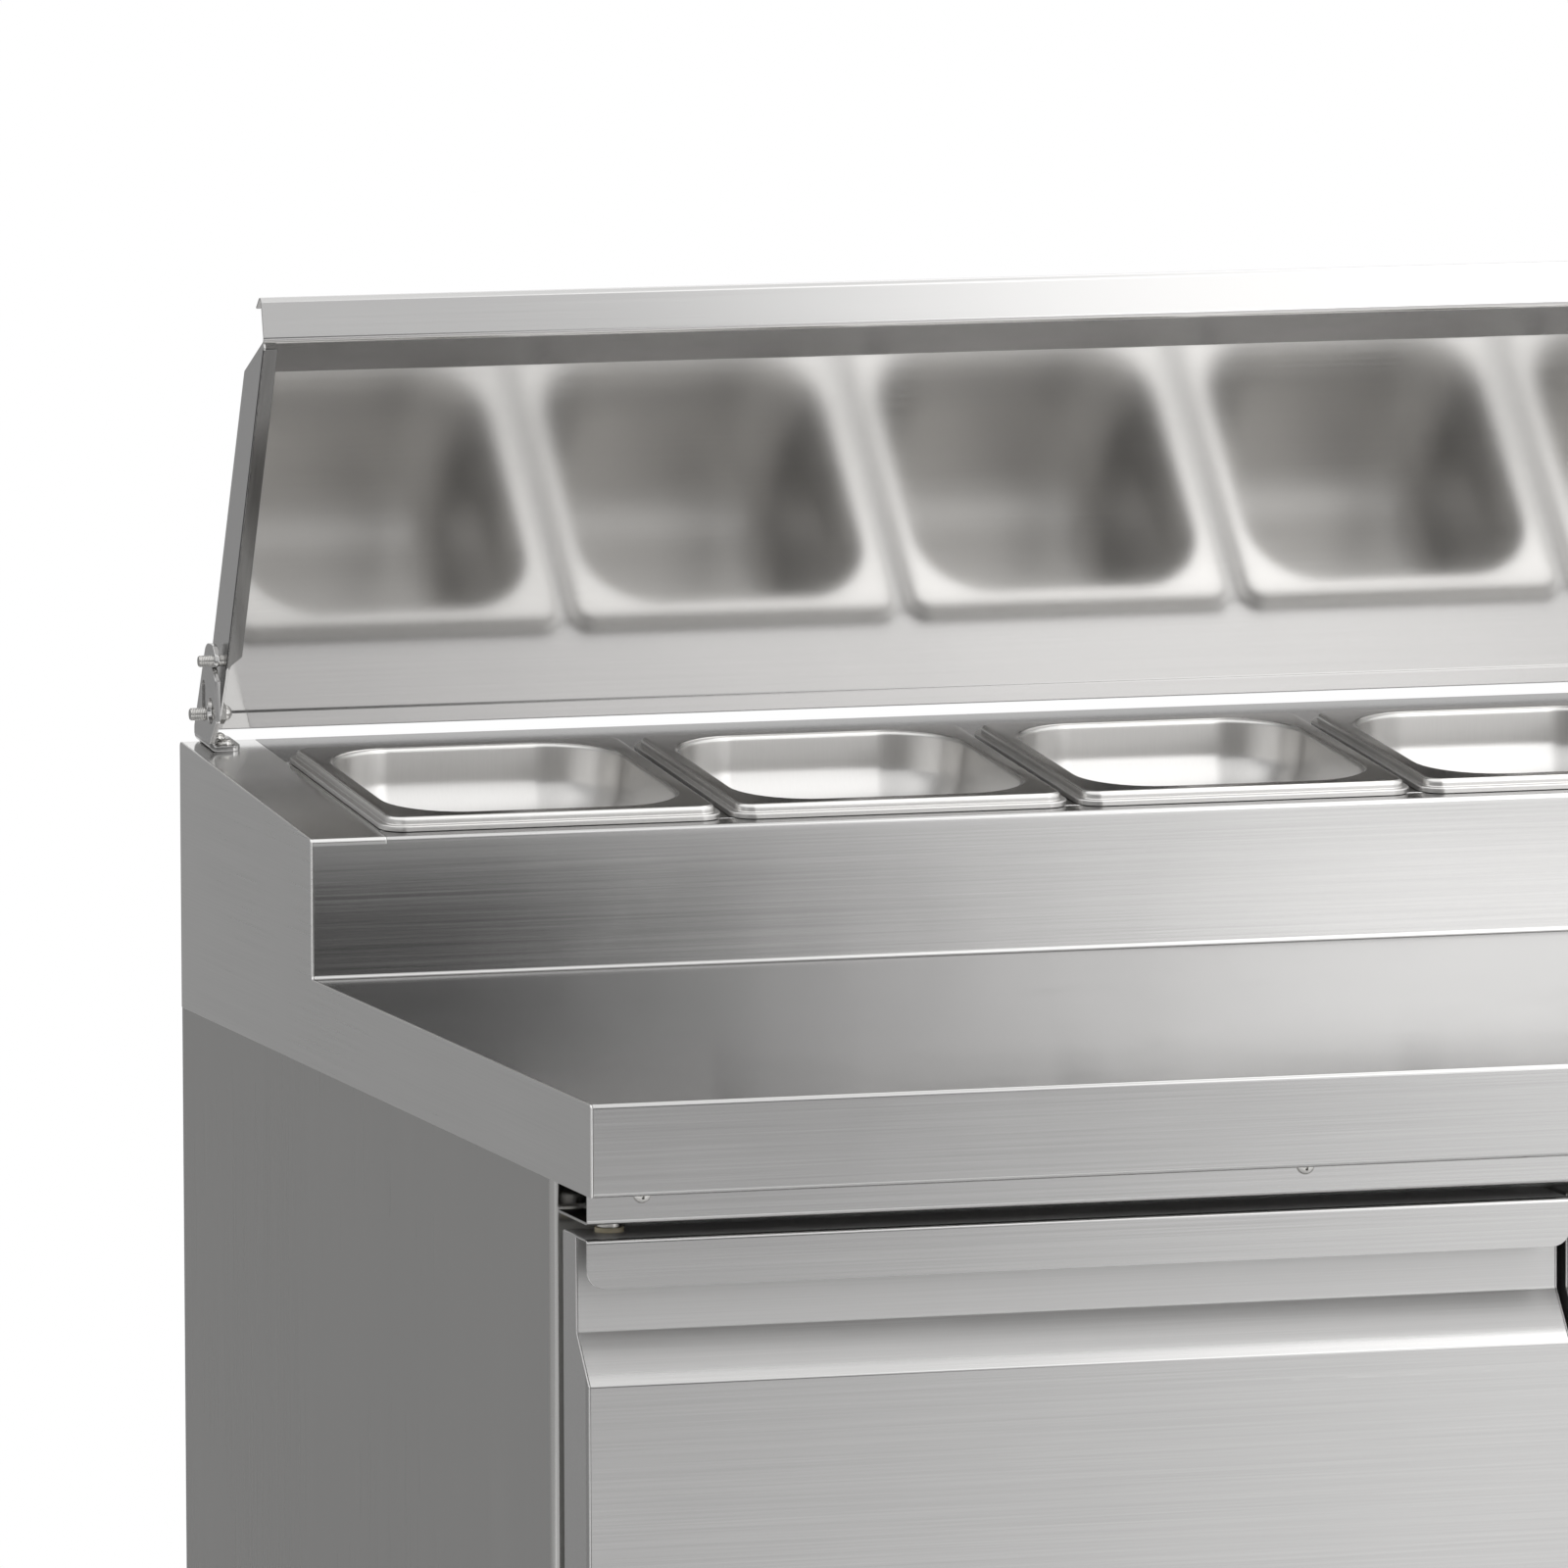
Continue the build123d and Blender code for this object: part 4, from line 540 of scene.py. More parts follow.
worktopShape = {"apronHem": 8.0, "frontStrip": 15.0, "stripFlange": 14.0, "edge": 0.3, "seamStep": 0.02}


def makeWorktop():
    # the folded line runs from the apron's hem over deck and riser to the strip in front of the pans
    shape, front, low = worktopShape, counter["front"], counter["apronBottom"]
    deck, riser, strip = counter["deck"], counter["railFront"], shape["frontStrip"]
    seam = counter["railTop"] - counter["seamDrop"]
    sheet = seamedSheet([
        (front + shape["apronHem"], low), (front, low), (front, deck), (riser, deck), (riser, seam),
        (riser, seam + shape["seamStep"]), (riser, counter["railTop"]),
        railSection(strip, 0), railSection(strip, -shape["stripFlange"]),
    ], (riser, seam), innerHalf, counter["seam"], shape["edge"])
    makePiece("worktop_sheet", [sheet], "cabinet", finish["brushedSteel"], ["worktop"])


endCapShape = {"edge": 0.55, "stripEdge": 0.4, "tuck": 0.5, "corner": 0.8}


def makeEndCaps():
    # cheek: the side outline as a plate with a soft edge. strip: the slanted top, folded down at both ends
    shape, bend = endCapShape, counter["bend"]
    front, rear, low = counter["front"], counter["rear"], counter["apronBottom"]
    railFront, railTop, drop = counter["railFront"], counter["railTop"], counter["seamDrop"]
    outline = roundOutline([
        (front, low), (front, counter["deck"]), (railFront, counter["deck"]), (railFront, railTop),
        (rear, railRearTop), (rear, low),
    ], [shape["corner"], bend, bend, bend, bend, shape["corner"]])
    cheek = plateRings(outline, -counter["halfWidth"], -innerHalf, sectionAxes, shape["edge"])
    line, sides = bendLine([(railFront, railTop - drop), (railFront, railTop), (rear, railRearTop),
                            (rear, railRearTop - drop)], bend)
    strip = sheetAlong(line, sides, -innerHalf - shape["tuck"], -counter["seam"], counter["sheet"],
                       sectionAxes,
                       shape["stripEdge"])
    # the cheeks and cap strips take paler copies of the steel: painted light
    for side, plate, top in (("left", cheek, strip), ("right", mirrored(cheek), mirrored(strip))):
        for piece, shell, look in (("_end_cheek", plate, "brushedCheek"), ("_cap_strip", top, "paintedLightStrip")):
            makePiece(side + piece, [shell], "cabinet", finish[look],
                      [side + "_end_cap"])


rearRailShape = {"stripFront": 178.2, "stripFlange": 14.0, "edge": 0.4, "seamStep": 0.02}


def makeRearRail():
    # the strip behind the pans, folded down into the rear skirt, wider below the seam of the end caps
    shape, rear = rearRailShape, counter["rear"]
    seam, strip = railRearTop - counter["seamDrop"], shape["stripFront"]
    sheet = seamedSheet([
        railSection(strip, -shape["stripFlange"]), railSection(strip, 0), (rear, railRearTop), (rear, seam),
        (rear, seam - shape["seamStep"]), (rear, counter["apronBottom"]),
    ], (rear, seam), counter["seam"], innerHalf, shape["edge"])
    makePiece("rear_rail_sheet", [sheet], "cabinet", finish["brushedSteel"],
              ["rear_rail"])


barShape = {
    "middles": (-249.0, -83.0, 83.0, 249.0), "width": 20.0, "endMiddle": 409.0, "endWidth": 10.0,
    "height": 12.0, "span": (15.0, 178.2), "edge": 0.3,
}


def makeBars():
    # channels between the two strips: an inverted U carried along the tilted rail
    shape = barShape
    places = [(x, shape["width"]) for x in shape["middles"]]
    places += [(-shape["endMiddle"], shape["endWidth"]), (shape["endMiddle"], shape["endWidth"])]
    shells = []
    for middle, width in places:
        half = width / 2
        line, sides = bendLine([(-half, -shape["height"]), (-half, 0), (half, 0), (half, -shape["height"])],
                               counter["bend"])
        axes = (railOrigin + middle * xAxis, xAxis, railUp, railAlong)
        shells.append(sheetAlong(line, sides, *shape["span"], counter["sheet"], axes, shape["edge"]))
    makePiece("pan_support_channels", shells, "cabinet", finish["brushedSteel"],
              ["pan_support_bars"])


panShape = {
    "half": (81.0, 88.0), "pitch": 166.0, "count": 5, "reveal": 8.7, "clearance": 0.3, "corner": 11.0,
    "tightCorner": 2.0, "wall": 0.8, "lipWidth": 3.0, "lipHeight": 2.4, "lipEdge": 0.6, "stepFoot": 0.3,
    "rimHeight": 6.0, "rimRadius": 2.0, "mouth": (69.0, 75.0), "mouthCorner": 34.0, "cornerGrowth": 4.0,
    "mouthRadius": 2.4, "depth": 100.0, "taper": 0.08, "shoulder": (16.0, 34.0, 4.0), "floorRadius": 20.0,
    "floorCorner": 5.0, "cornerSteps": 10,
}


def panWallIn(depth):
    # how far the wall stands in at a depth: its taper, and the soft stacking shoulder below the rim
    start, stop, step = panShape["shoulder"]
    share = np.clip((depth - start) / (stop - start), 0, 1)
    return panShape["taper"] * depth + step * share ** 2 * (3 - 2 * share)


def panProfile():
    # (inset from the mouth, height over the seat): up the inside from the floor, and down the outside
    shape = panShape
    wall, bend, shoulderEnd = shape["wall"], shape["floorRadius"], shape["shoulder"][1]
    deep = np.concatenate([np.linspace(shape["depth"] - bend, shoulderEnd, 8),
                           np.linspace(shoulderEnd - 1, shape["mouthRadius"], 24)])
    inner = np.stack([panWallIn(deep), shape["rimHeight"] - deep], 1)
    bow = np.linspace(0, pi / 2, 8)
    bowl = bend * np.stack([1 - np.cos(bow), 1 - np.sin(bow)], 1)[::-1]
    floor = (inner[0] + [0, -bend] + bowl)[:-1]
    lead = shape["mouthRadius"] * np.stack([np.cos(bow) - 1, np.sin(bow)], 1) + inner[-1]
    outer = np.concatenate([floor, inner]) + [-wall, -wall]
    outer[len(floor):, 1] += wall
    outer = outer[outer[:, 1] < shape["lipHeight"]][::-1]
    return np.concatenate([floor, inner, lead[1:]]), outer


def panRing(half, inset, corner, height):
    outline = roundRect(half[0] - inset, half[1] - inset, corner, panShape["cornerSteps"])
    return np.column_stack([outline, np.full(len(outline), height)])


def wellRing(inset, height):
    # the well's corners tighten as it draws in, down to the floor's own corner
    shape = panShape
    corner = max(shape["mouthCorner"] - max(inset, -shape["cornerGrowth"]), shape["floorCorner"])
    return panRing(shape["mouth"], inset, corner, height)


def makePans():
    # rounded rectangles stacked by height: well, lead radius, flat rim, step, lip, outside of the sheet
    shape, half = panShape, panShape["half"]
    low, rim, wall, lip = shape["lipHeight"], shape["rimHeight"], shape["wall"], shape["lipWidth"]
    inside, outside = panProfile()
    bow = np.linspace(0, pi / 2, 6)
    turn = np.stack([1 - np.sin(bow), np.cos(bow) - 1], 1)
    top = [*(shape["rimRadius"] * turn + [lip, rim]), (lip, low + shape["stepFoot"]),
           (lip - shape["stepFoot"], low),
           *(shape["lipEdge"] * turn + [0, low]), (0, 0), (wall, 0), (wall, low - wall),
           (lip + wall, low - wall), (lip + wall, rim - wall)]
    rings = [wellRing(*place) for place in inside]
    rings += [panRing(half, inset, max(shape["corner"] - inset, shape["tightCorner"]), height)
              for inset, height in top]
    rings.append(panRing(shape["mouth"], outside[0, 0], shape["mouthCorner"] + 1, rim - wall))
    rings = np.stack(rings + [wellRing(*place) for place in outside])
    for number in range(shape["count"]):
        x = (number + 0.5 - shape["count"] / 2) * shape["pitch"]
        seat = railPoint(x, shape["reveal"] + half[1], shape["clearance"])
        placed = laidOut((seat, xAxis, railAlong, railUp), rings[..., :2], rings[..., 2:])
        node = f"pan_{number + 1}"
        # the pans' paler steel is painted light
        makePiece(node + "_drawn", [ringStack(placed)], node, finish["drawnSteel"], [node])


lidShape = {
    "openAngle": 65.0, "pivotSetback": 16.7, "pivotLift": 15.85, "halfWidth": 438.0, "sheet": 1.2,
    "edge": 0.35,
    "section": [(-8.0, 12.7), (-17.2, 12.7), (-17.2, 15.2), (175.0, 15.2), (204.8, -9.4), (220.7, 3.5),
                (212.3, 7.3)],
    "radii": [1.24, 1.24, 2.0, 2.0, 2.0], "bendSteps": 8, "rim": -11.5, "rimReturn": 7.0,
    "rimSpan": (30.0, 201.2), "earRadius": 8.0, "earHeel": (5.3, -9.7), "earFoot": 26.4,
    "stud": (30.9, -3.8), "boltRadius": 3.0, "studRadius": 2.75,
}
lidLean = radians(lidShape["openAngle"])
lidAlong = np.array([0, -cos(lidLean), sin(lidLean)])
lidOut = np.array([0, sin(lidLean), cos(lidLean)])
lidPivot = railPoint(0, counter["railDepth"] / cos(tilt) - lidShape["pivotSetback"], lidShape["pivotLift"])


def lidEarOutline():
    # the side flange follows the lid's own section, and ends in a round ear about the pivot
    shape = lidShape
    inside = shape["section"][2][1] - shape["sheet"] / 2
    root = shape["section"][4]
    tops = [(-shape["earRadius"], inside), (shape["section"][3][0], inside),
            (root[0] - shape["sheet"], root[1])]
    crest = bendLine(tops, shape["radii"][2], shape["bendSteps"])[0]
    ear = shape["earRadius"] * onCircle(np.linspace(-pi / 2, -pi, 12))
    foot = [(root[0] - 2 * shape["sheet"], shape["rim"]), (shape["earFoot"], shape["rim"]), shape["earHeel"]]
    return np.concatenate([ear, crest, foot])


def makeLid():
    # one folded sheet: hemmed rear edge, crown, bevel and handle lip, with side flanges and returns
    shape, sheet, edge = lidShape, lidShape["sheet"], lidShape["edge"]
    width, back, rim = shape["halfWidth"], shape["rimReturn"], shape["rim"]
    axes = (lidPivot, lidAlong, lidOut, xAxis)
    line, sides = bendLine(shape["section"], shape["radii"], shape["bendSteps"])
    crown = sheetAlong(line, sides, -width, width, sheet, axes, edge)
    ear = plateRings(lidEarOutline(), -width, sheet - width, axes, edge)
    start, stop = shape["rimSpan"]
    strip = np.array([(start, -width), (start + back, back - width), (stop, back - width), (stop, -width)])
    fold = plateRings(strip, rim, rim + sheet, (lidPivot, lidAlong, xAxis, lidOut), edge)
    # the side returns take a dark copy of the lid's steel: painted shade
    for piece, shells, look in (("lid_sheet", [crown, ear, mirrored(ear)], "polishedSheet"),
                                ("lid_side_returns", [fold, mirrored(fold)], "shadedReturn")):
        makePiece(piece, shells, "lid", finish[look], ["lid"])


boltShape = {
    "end": 449.5, "chamfer": 0.5, "nutRadius": 5.0, "nutHeight": 4.0, "capRadius": 3.8, "capHeight": 3.4,
    "spacer": 2.2, "studHeadRadius": 4.5, "studHeadHeight": 2.0, "thread": 0.18, "pitch": 0.8,
    "soft": 0.35,
}


def threadedShank(start, direction, radius, length):
    # a shank whose radius rises and falls along its length as the thread does, with a chamfered end
    shape = boltShape
    height = np.linspace(0, length - shape["chamfer"], int(length / shape["pitch"] * 6))
    wave = shape["thread"] * (0.5 + 0.5 * np.cos(2 * pi * height / shape["pitch"]))
    profile = np.stack([radius - wave, height], 1)
    end = [(radius - shape["thread"], length - shape["chamfer"]), (radius - shape["chamfer"], length)]
    return turned(np.concatenate([profile, end]), start, direction, 24)


def softDisc(radius, height):
    # lathe profile of a disc with its two edges broken
    soft = boltShape["soft"]
    return [(radius - soft, 0), (radius, soft), (radius, height - soft), (radius - soft, height)]


def makeLidBolts():
    # pivot bolts with hexagon cap nuts inside the lid, and the two stop studs
    shape, lid = boltShape, lidShape
    ear = lid["halfWidth"] - lid["sheet"]
    seat = lidPivot - ear * xAxis
    length = shape["end"] - ear
    stud = seat + lidAlong * lid["stud"][0] + lidOut * lid["stud"][1]
    dome = quarterArc(0, 0, 1, 8, 85, 8) * [shape["capRadius"], shape["capHeight"]]
    cap = np.concatenate([[(shape["capRadius"], 0)], dome])
    shells = [
        threadedShank(seat, -xAxis, lid["boltRadius"], length),
        threadedShank(stud, -xAxis, lid["studRadius"], length),
        turned(softDisc(shape["nutRadius"], shape["nutHeight"]), seat, xAxis, 6),
        turned(cap, seat + shape["nutHeight"] * xAxis, xAxis),
        turned(softDisc(shape["studHeadRadius"], shape["studHeadHeight"]), stud, xAxis),
        turned(softDisc(shape["nutRadius"], shape["spacer"]), lidPivot - lid["halfWidth"] * xAxis, -xAxis),
    ]
    makePiece("lid_pivot_bolts", shells + [mirrored(shell) for shell in shells], "lid", finish["brightBolt"],
              ["lid_bolts"])


bracketShape = {
    "outer": 443.0, "inner": 427.5, "thickness": 2.5, "bend": 3.5, "footCorner": 4.0,
    "along": (208.487, 236.596), "front": 321.5, "rear": 349.5, "tipSetback": 5.0, "tipWidth": 17.0,
    "tipRadius": 8.0, "height": 34.0, "shoulder": 7.0, "frontDrop": 2.0, "slotHalf": 3.25,
    "slotTravel": 12.6, "window": 6.0, "windowAhead": 12.5, "windowLift": 2.7, "notchWidth": 6.4,
    "edge": 0.35, "tuck": 0.04, "tipGap": 0.1,
}


def bracketOutline():
    # the plate's outline with the open notch: two arcs about the pivot, a half circle where the stud rests
    shape = bracketShape
    pivotY, pivotZ = lidPivot[1:]
    tipFront = pivotY - shape["tipSetback"] - shape["tipWidth"]
    tipRear, tipTop = pivotY - shape["tipSetback"], pivotZ + shape["height"]
    heights = [railOrigin[2] + (y - railOrigin[1]) * sin(tilt) / cos(tilt) + shape["bend"]
               for y in (shape["front"], shape["rear"])]
    stud = lidAlong[1:] * lidShape["stud"][0] + lidOut[1:] * lidShape["stud"][1]
    reach, half, rest = hypot(*stud), shape["notchWidth"] / 2, atan2(stud[1], stud[0])

    def arc(radius, start, stop, centre=(pivotY, pivotZ)):
        return np.asarray(centre) + radius * onCircle(np.linspace(start, stop, 10))

    def mouth(radius):
        return pi - np.arccos((pivotY - tipFront) / radius)

    lower = bendLine([(shape["front"], heights[0]), (tipFront, pivotZ - shape["frontDrop"]),
                      (tipFront, pivotZ + shape["slotTravel"])], counter["bend"])[0]
    notch = np.concatenate([arc(reach - half, mouth(reach - half), rest),
                            arc(half, rest + pi, rest, stud + [pivotY, pivotZ])[1:-1],
                            arc(reach + half, rest, mouth(reach + half))])
    tip = arc(shape["tipRadius"], pi * 0.98, pi / 2,
              (tipFront + shape["tipRadius"], tipTop - shape["tipRadius"]))
    upper = bendLine([(tipFront + shape["tipRadius"] + shape["tipGap"], tipTop), (tipRear, tipTop),
                      (shape["rear"], pivotZ - shape["shoulder"]), (shape["rear"], heights[1])],
                     [shape["tipRadius"], 2 * counter["bend"]], 10)[0]
    return np.concatenate([lower, notch, tip, upper])


def makeBrackets():
    # a slotted plate bent up from its foot, which is screwed to the end cap
    shape = bracketShape
    pivotY, pivotZ = lidPivot[1:]
    holes = [
        stadium((pivotY, pivotZ), (pivotY, pivotZ + shape["slotTravel"]), shape["slotHalf"], 14),
        circleLine((pivotY - shape["windowAhead"], pivotZ + shape["windowLift"]), shape["window"], 40),
    ]
    plate = cutPlate(bracketOutline(), holes, -shape["outer"], shape["thickness"] - shape["outer"],
                     sectionAxes,
                     shape["edge"])
    steps = cornerSteps(shape["footCorner"])
    run = [(-shape["inner"] - step, 0) for step in steps]
    back = -shape["outer"] + shape["tuck"]
    line, sides = bendLine(run + [(back, 0), (back, 2 * shape["bend"])], shape["bend"])
    inset = roundedEnd(-shape["inner"] - line[:, 0], shape["footCorner"])
    axes = (railOrigin, xAxis, railUp, railAlong)
    foot = sheetAlong(line, sides, shape["along"][0] + inset, shape["along"][1] - inset,
                      shape["thickness"] - 2 * shape["tuck"], axes, shape["edge"])
    makePair("{}_hinge_bracket", [plate, foot], "cabinet", finish["polishedSheet"],
             "{}_lid_bracket")


screwShape = {
    "headRadius": 4.2, "headHeight": 2.4, "shankRadius": 2.0, "crossHalf": 0.42, "crossReach": 2.3,
    "crossDepth": 1.3, "railX": (-424.0, -124.0, 124.0, 424.0), "railFace": -338.6, "railHeight": 809.3,
    "bracketX": 434.0, "bracketAlong": (214.987, 230.096), "seat": 2.5, "shank": 4.9, "railShank": 2.4,
    "shankHead": 1.0, "crossSoft": 0.25, "crossFade": 0.6, "dome": 3.2,
}


def screwHead(seat, direction):
    # a pan head: a dome as a height over (radius, angle), less a cross-shaped recess
    shape = screwShape
    radius = shape["headRadius"] * np.sin(np.linspace(0.02, pi / 2, 26))
    r, angle = np.meshgrid(radius, roundAngles(64), indexing="ij")
    height = shape["headHeight"] * np.sqrt(np.clip(1 - (r / shape["headRadius"]) ** shape["dome"], 0, 1))
    flat = r[..., None] * onCircle(angle)
    arm = np.abs(flat).min(-1)
    within = np.clip((shape["crossHalf"] - arm) / shape["crossSoft"] + 0.5, 0, 1)
    within = within * np.clip((shape["crossReach"] - r) / shape["crossFade"], 0, 1)
    height = height - shape["crossDepth"] * within
    return ringStack(laidOut((seat, *squareTo(direction)), flat, height[..., None]))


def makeScrews():
    shape, radius = screwShape, screwShape["shankRadius"]
    seats = [((x, shape["railFace"], shape["railHeight"]), -yAxis,
              shape["railShank"]) for x in shape["railX"]]
    seats += [(railPoint(x, along, shape["seat"]), railUp, shape["shank"])
              for x in (-shape["bracketX"], shape["bracketX"]) for along in shape["bracketAlong"]]
    shells = []
    for seat, outward, length in seats:
        shank = [(radius, -shape["shankHead"]), (radius, length)]
        shells += [screwHead(seat, outward), turned(shank, seat, -outward, 16)]
    makePiece("pan_head_screws", shells, "cabinet", finish["brightBolt"],
              ["fixing_screws"])


doorShape = {
    "left": -448.5, "right": -2.0, "front": -339.5, "rear": -300.0, "bottom": 268.5, "top": 789.8,
    "skin": 1.0, "recessDepth": 19.5, "recessHeight": 42.0, "recessSlant": 21.4, "lipHeight": 21.3,
    "lipSetback": 1.7, "lipCorner": 7.5, "lipEdge": 0.48, "skinEdge": 0.2, "edge": 0.45, "corner": 0.9,
}


def makeDoorSkins():
    # folded front sheet between two end cheeks, with the pull recess, and the lip that hangs over it
    shape, thin = doorShape, doorShape["skin"]
    front, rear, low, high = shape["front"], shape["rear"], shape["bottom"], shape["top"]
    recess = front + shape["recessDepth"]
    slantTop = high - shape["recessHeight"]
    face = [(front, low), (front, slantTop - shape["recessSlant"]), (recess, slantTop), (recess, high)]
    line, sides = bendLine([(rear, low)] + face + [(rear, high)], counter["bend"])
    skin = sheetAlong(line, sides, shape["left"] + thin, shape["right"] - thin, thin, sectionAxes,
                      shape["skinEdge"])
    outline = roundOutline(face + [(rear, high), (rear, low)],
                           [shape["corner"]] + [counter["bend"]] * 2 + [shape["corner"]] * 3)
    cheeks = [plateRings(outline, x, x + thin, sectionAxes, shape["edge"])
              for x in (shape["left"], shape["right"] - thin)]
    lipFace, lipFoot = front + shape["lipSetback"], high - shape["lipHeight"]
    run = [(lipFace, lipFoot + step) for step in cornerSteps(shape["lipCorner"])]
    line, sides = bendLine(run + [(lipFace, high), (recess + thin, high)], counter["bend"])
    onFace = np.where(line[:, 0] > lipFace + 0.001, shape["lipCorner"], line[:, 1] - lipFoot)
    inset = roundedEnd(onFace, shape["lipCorner"])
    lip = sheetAlong(line, sides, shape["left"] + inset, shape["right"] - inset, thin, sectionAxes,
                     shape["lipEdge"])
    makePair("{}_door_front", [skin, *cheeks, lip], "{}_door", finish["doorSteel"],
             "{}_door_skin")


def frameRound(profile, halfX, halfY, radius, axes, steps=5):
    # a closed profile of (distance in from the edge, depth) carried round a rectangle with rounded corners
    profile = np.asarray(profile, float)
    loops = np.stack([roundRect(halfX - inset, halfY - inset, max(radius - inset, 0.4), steps)
                      for inset in profile[:, 0]])
    return ringLoop(laidOut(axes, loops, profile[:, 1, None, None]))


gasketShape = {
    "left": -430.5, "right": -9.0, "height": 507.3, "middle": 529.15, "root": -300.0, "width": 12.0,
    "depth": 14.6, "corner": 3.0, "bellow": 2.4, "waist": (0.16, 0.5), "waistPower": 0.6, "ripple": 0.7,
    "crown": (0.88, 1.6),
}


def gasketProfile():
    # base strip, a waist with one bellow on each side, and a full rounded magnet strip
    shape = gasketShape
    level = np.linspace(0, 1, 40)
    waistStart, waistLength = shape["waist"]
    crownStart, crownInset = shape["crown"]
    share = np.clip((level - waistStart) / waistLength, 0, 1)
    waist = shape["bellow"] * np.clip(np.sin(pi * share), 0, 1) ** shape["waistPower"]
    ripple = shape["ripple"] * np.sin(3 * pi * share) ** 2
    crown = crownInset * np.clip((level - crownStart) / (1 - crownStart), 0, 1) ** 2
    inset = np.clip(waist - ripple, 0, None) + crown
    depth = level * shape["depth"]
    near = np.stack([inset, depth], 1)
    far = np.stack([shape["width"] - inset, depth], 1)[::-1]
    return np.concatenate([near, far])


def makeGaskets():
    shape = gasketShape
    left, right = shape["left"], shape["right"]
    axes = (((left + right) / 2, shape["root"], shape["middle"]), xAxis, zAxis, yAxis)
    seal = frameRound(gasketProfile(), (right - left) / 2, shape["height"] / 2, shape["corner"], axes)
    makePair("{}_door_seal", [seal], "{}_door", finish["blackGasket"], "{}_door_gasket")


shelfShape = {
    "left": -411.0, "right": -5.0, "front": -233.8, "depth": 435.0, "level": 483.5, "rod": 6.0,
    "wire": 3.0, "wires": 12, "sink": 0.6,
}


def makeShelves():
    # welded wire: round rods for the frame and three bearers, thin wires from front to rear on top
    shape = shelfShape
    rodR, wireR, count = shape["rod"] / 2, shape["wire"] / 2, shape["wires"]
    left, right, front, rear = shape["left"], shape["right"], shape["front"], shape["front"] + shape["depth"]
    rodLevel = shape["level"] + rodR * cos(pi / 6)
    wireLevel = rodLevel + (rodR + wireR) * cos(pi / 6) - shape["sink"]
    shells = [tubeAlong([(left, y, rodLevel), (right, y, rodLevel)], rodR, 16)
              for y in (front + rodR, front + shape["depth"] / 2, rear - rodR)]
    shells += [tubeAlong([(x, front, rodLevel), (x, rear, rodLevel)], rodR, 16)
               for x in (left + rodR, right - rodR)]
    pitch = (right - left - shape["rod"]) / (count + 1)
    for number in range(count):
        x = (left + right) / 2 + (number - (count - 1) / 2) * pitch
        shells.append(tubeAlong([(x, front, wireLevel), (x, rear, wireLevel)], wireR, 12))
    makePair("{}_wire_shelf", shells, "cabinet", finish["wireCoating"], "{}_shelf")


fanShape = {
    "radius": 62.0, "hubRadius": 18.0, "hubLength": 20.0, "blades": 5, "chord": (24.0, 36.0),
    "twist": (40.0, 24.0), "thickness": 1.8, "camber": 2.4, "sweep": 0.18, "bore": 3.05, "hubEdge": 2.0,
    "hubRearEdge": 0.6, "rootSink": 3.0, "tipShift": 0.02, "tipPower": 10, "tipChord": 0.12,
    "noseWeight": 0.25,
}


def fanBlade(hubFront, turn):
    # an aerofoil loop at each radius: chord and twist change from root to tip, and the tip trails a little
    shape = fanShape
    share = np.linspace(0, 1, 14)
    root = shape["hubRadius"] - shape["rootSink"]
    radius = root + share * (shape["radius"] - root)
    tip = np.clip(1 - (share - shape["tipShift"]) ** shape["tipPower"], shape["tipChord"], 1)
    chord = np.interp(share, [0, 1], shape["chord"]) * np.sqrt(tip)
    twist = np.radians(np.interp(share, [0, 1], shape["twist"]))
    angle = np.linspace(0, 2 * pi, 26)[:-1]
    across = np.cos(angle) / 2
    thick = shape["thickness"] / 2 * np.sin(angle) * (1 - shape["noseWeight"] * np.cos(angle))
    lift = shape["camber"] * (1 - 4 * across ** 2) / 2
    chordWise, upWise = chord[:, None] * across, np.broadcast_to(thick + lift, (len(share), len(angle)))
    tangent = chordWise * np.cos(twist)[:, None] - upWise * np.sin(twist)[:, None]
    axial = chordWise * np.sin(twist)[:, None] + upWise * np.cos(twist)[:, None]
    around = turn + shape["sweep"] * share[:, None] + tangent / radius[:, None]
    x, z = radius[:, None] * np.cos(around), radius[:, None] * np.sin(around)
    return ringStack(np.asarray(hubFront) + np.stack([x, axial + shape["hubLength"] / 2, z], -1))


def makeFan(name, node, hubFront):
    shape, bore, hubRadius, length = fanShape, fanShape["bore"], fanShape["hubRadius"], fanShape["hubLength"]
    near, far = shape["hubEdge"], shape["hubRearEdge"]
    hub = np.concatenate([[(bore, 0)], quarterArc(hubRadius - near, near, near, -90, 0),
                          quarterArc(hubRadius - far, length - far, far, 0, 90), [(bore, length)]])
    sleeve = ringLoop(latheRings(hub, hubFront, yAxis, 40))
    blades = [fanBlade(hubFront, turn) for turn in roundAngles(shape["blades"])]
    makePiece(name, [sleeve, *blades], node, finish["fanPlastic"], [node])


footShape = {
    "places": {"front_left": (-388.0, -225.0), "front_right": (388.0, -225.0), "rear_left": (-388.0, 290.0),
               "rear_right": (388.0, 290.0)},
    "padRadius": 24.0, "padHeight": 10.0, "padEdges": (1.5, 2.5), "coneHeight": 22.0, "neckRadius": 14.0,
    "neckEnd": 84.7, "stemRadius": 6.0, "stemEnd": 114.7, "groove": 0.7, "groovePitch": 5.2,
    "gripEnds": (8.0, 6.0), "coneTop": (1.2, 2.2), "neckFillet": (3.0, 1.4), "neckEdge": 1.0,
}


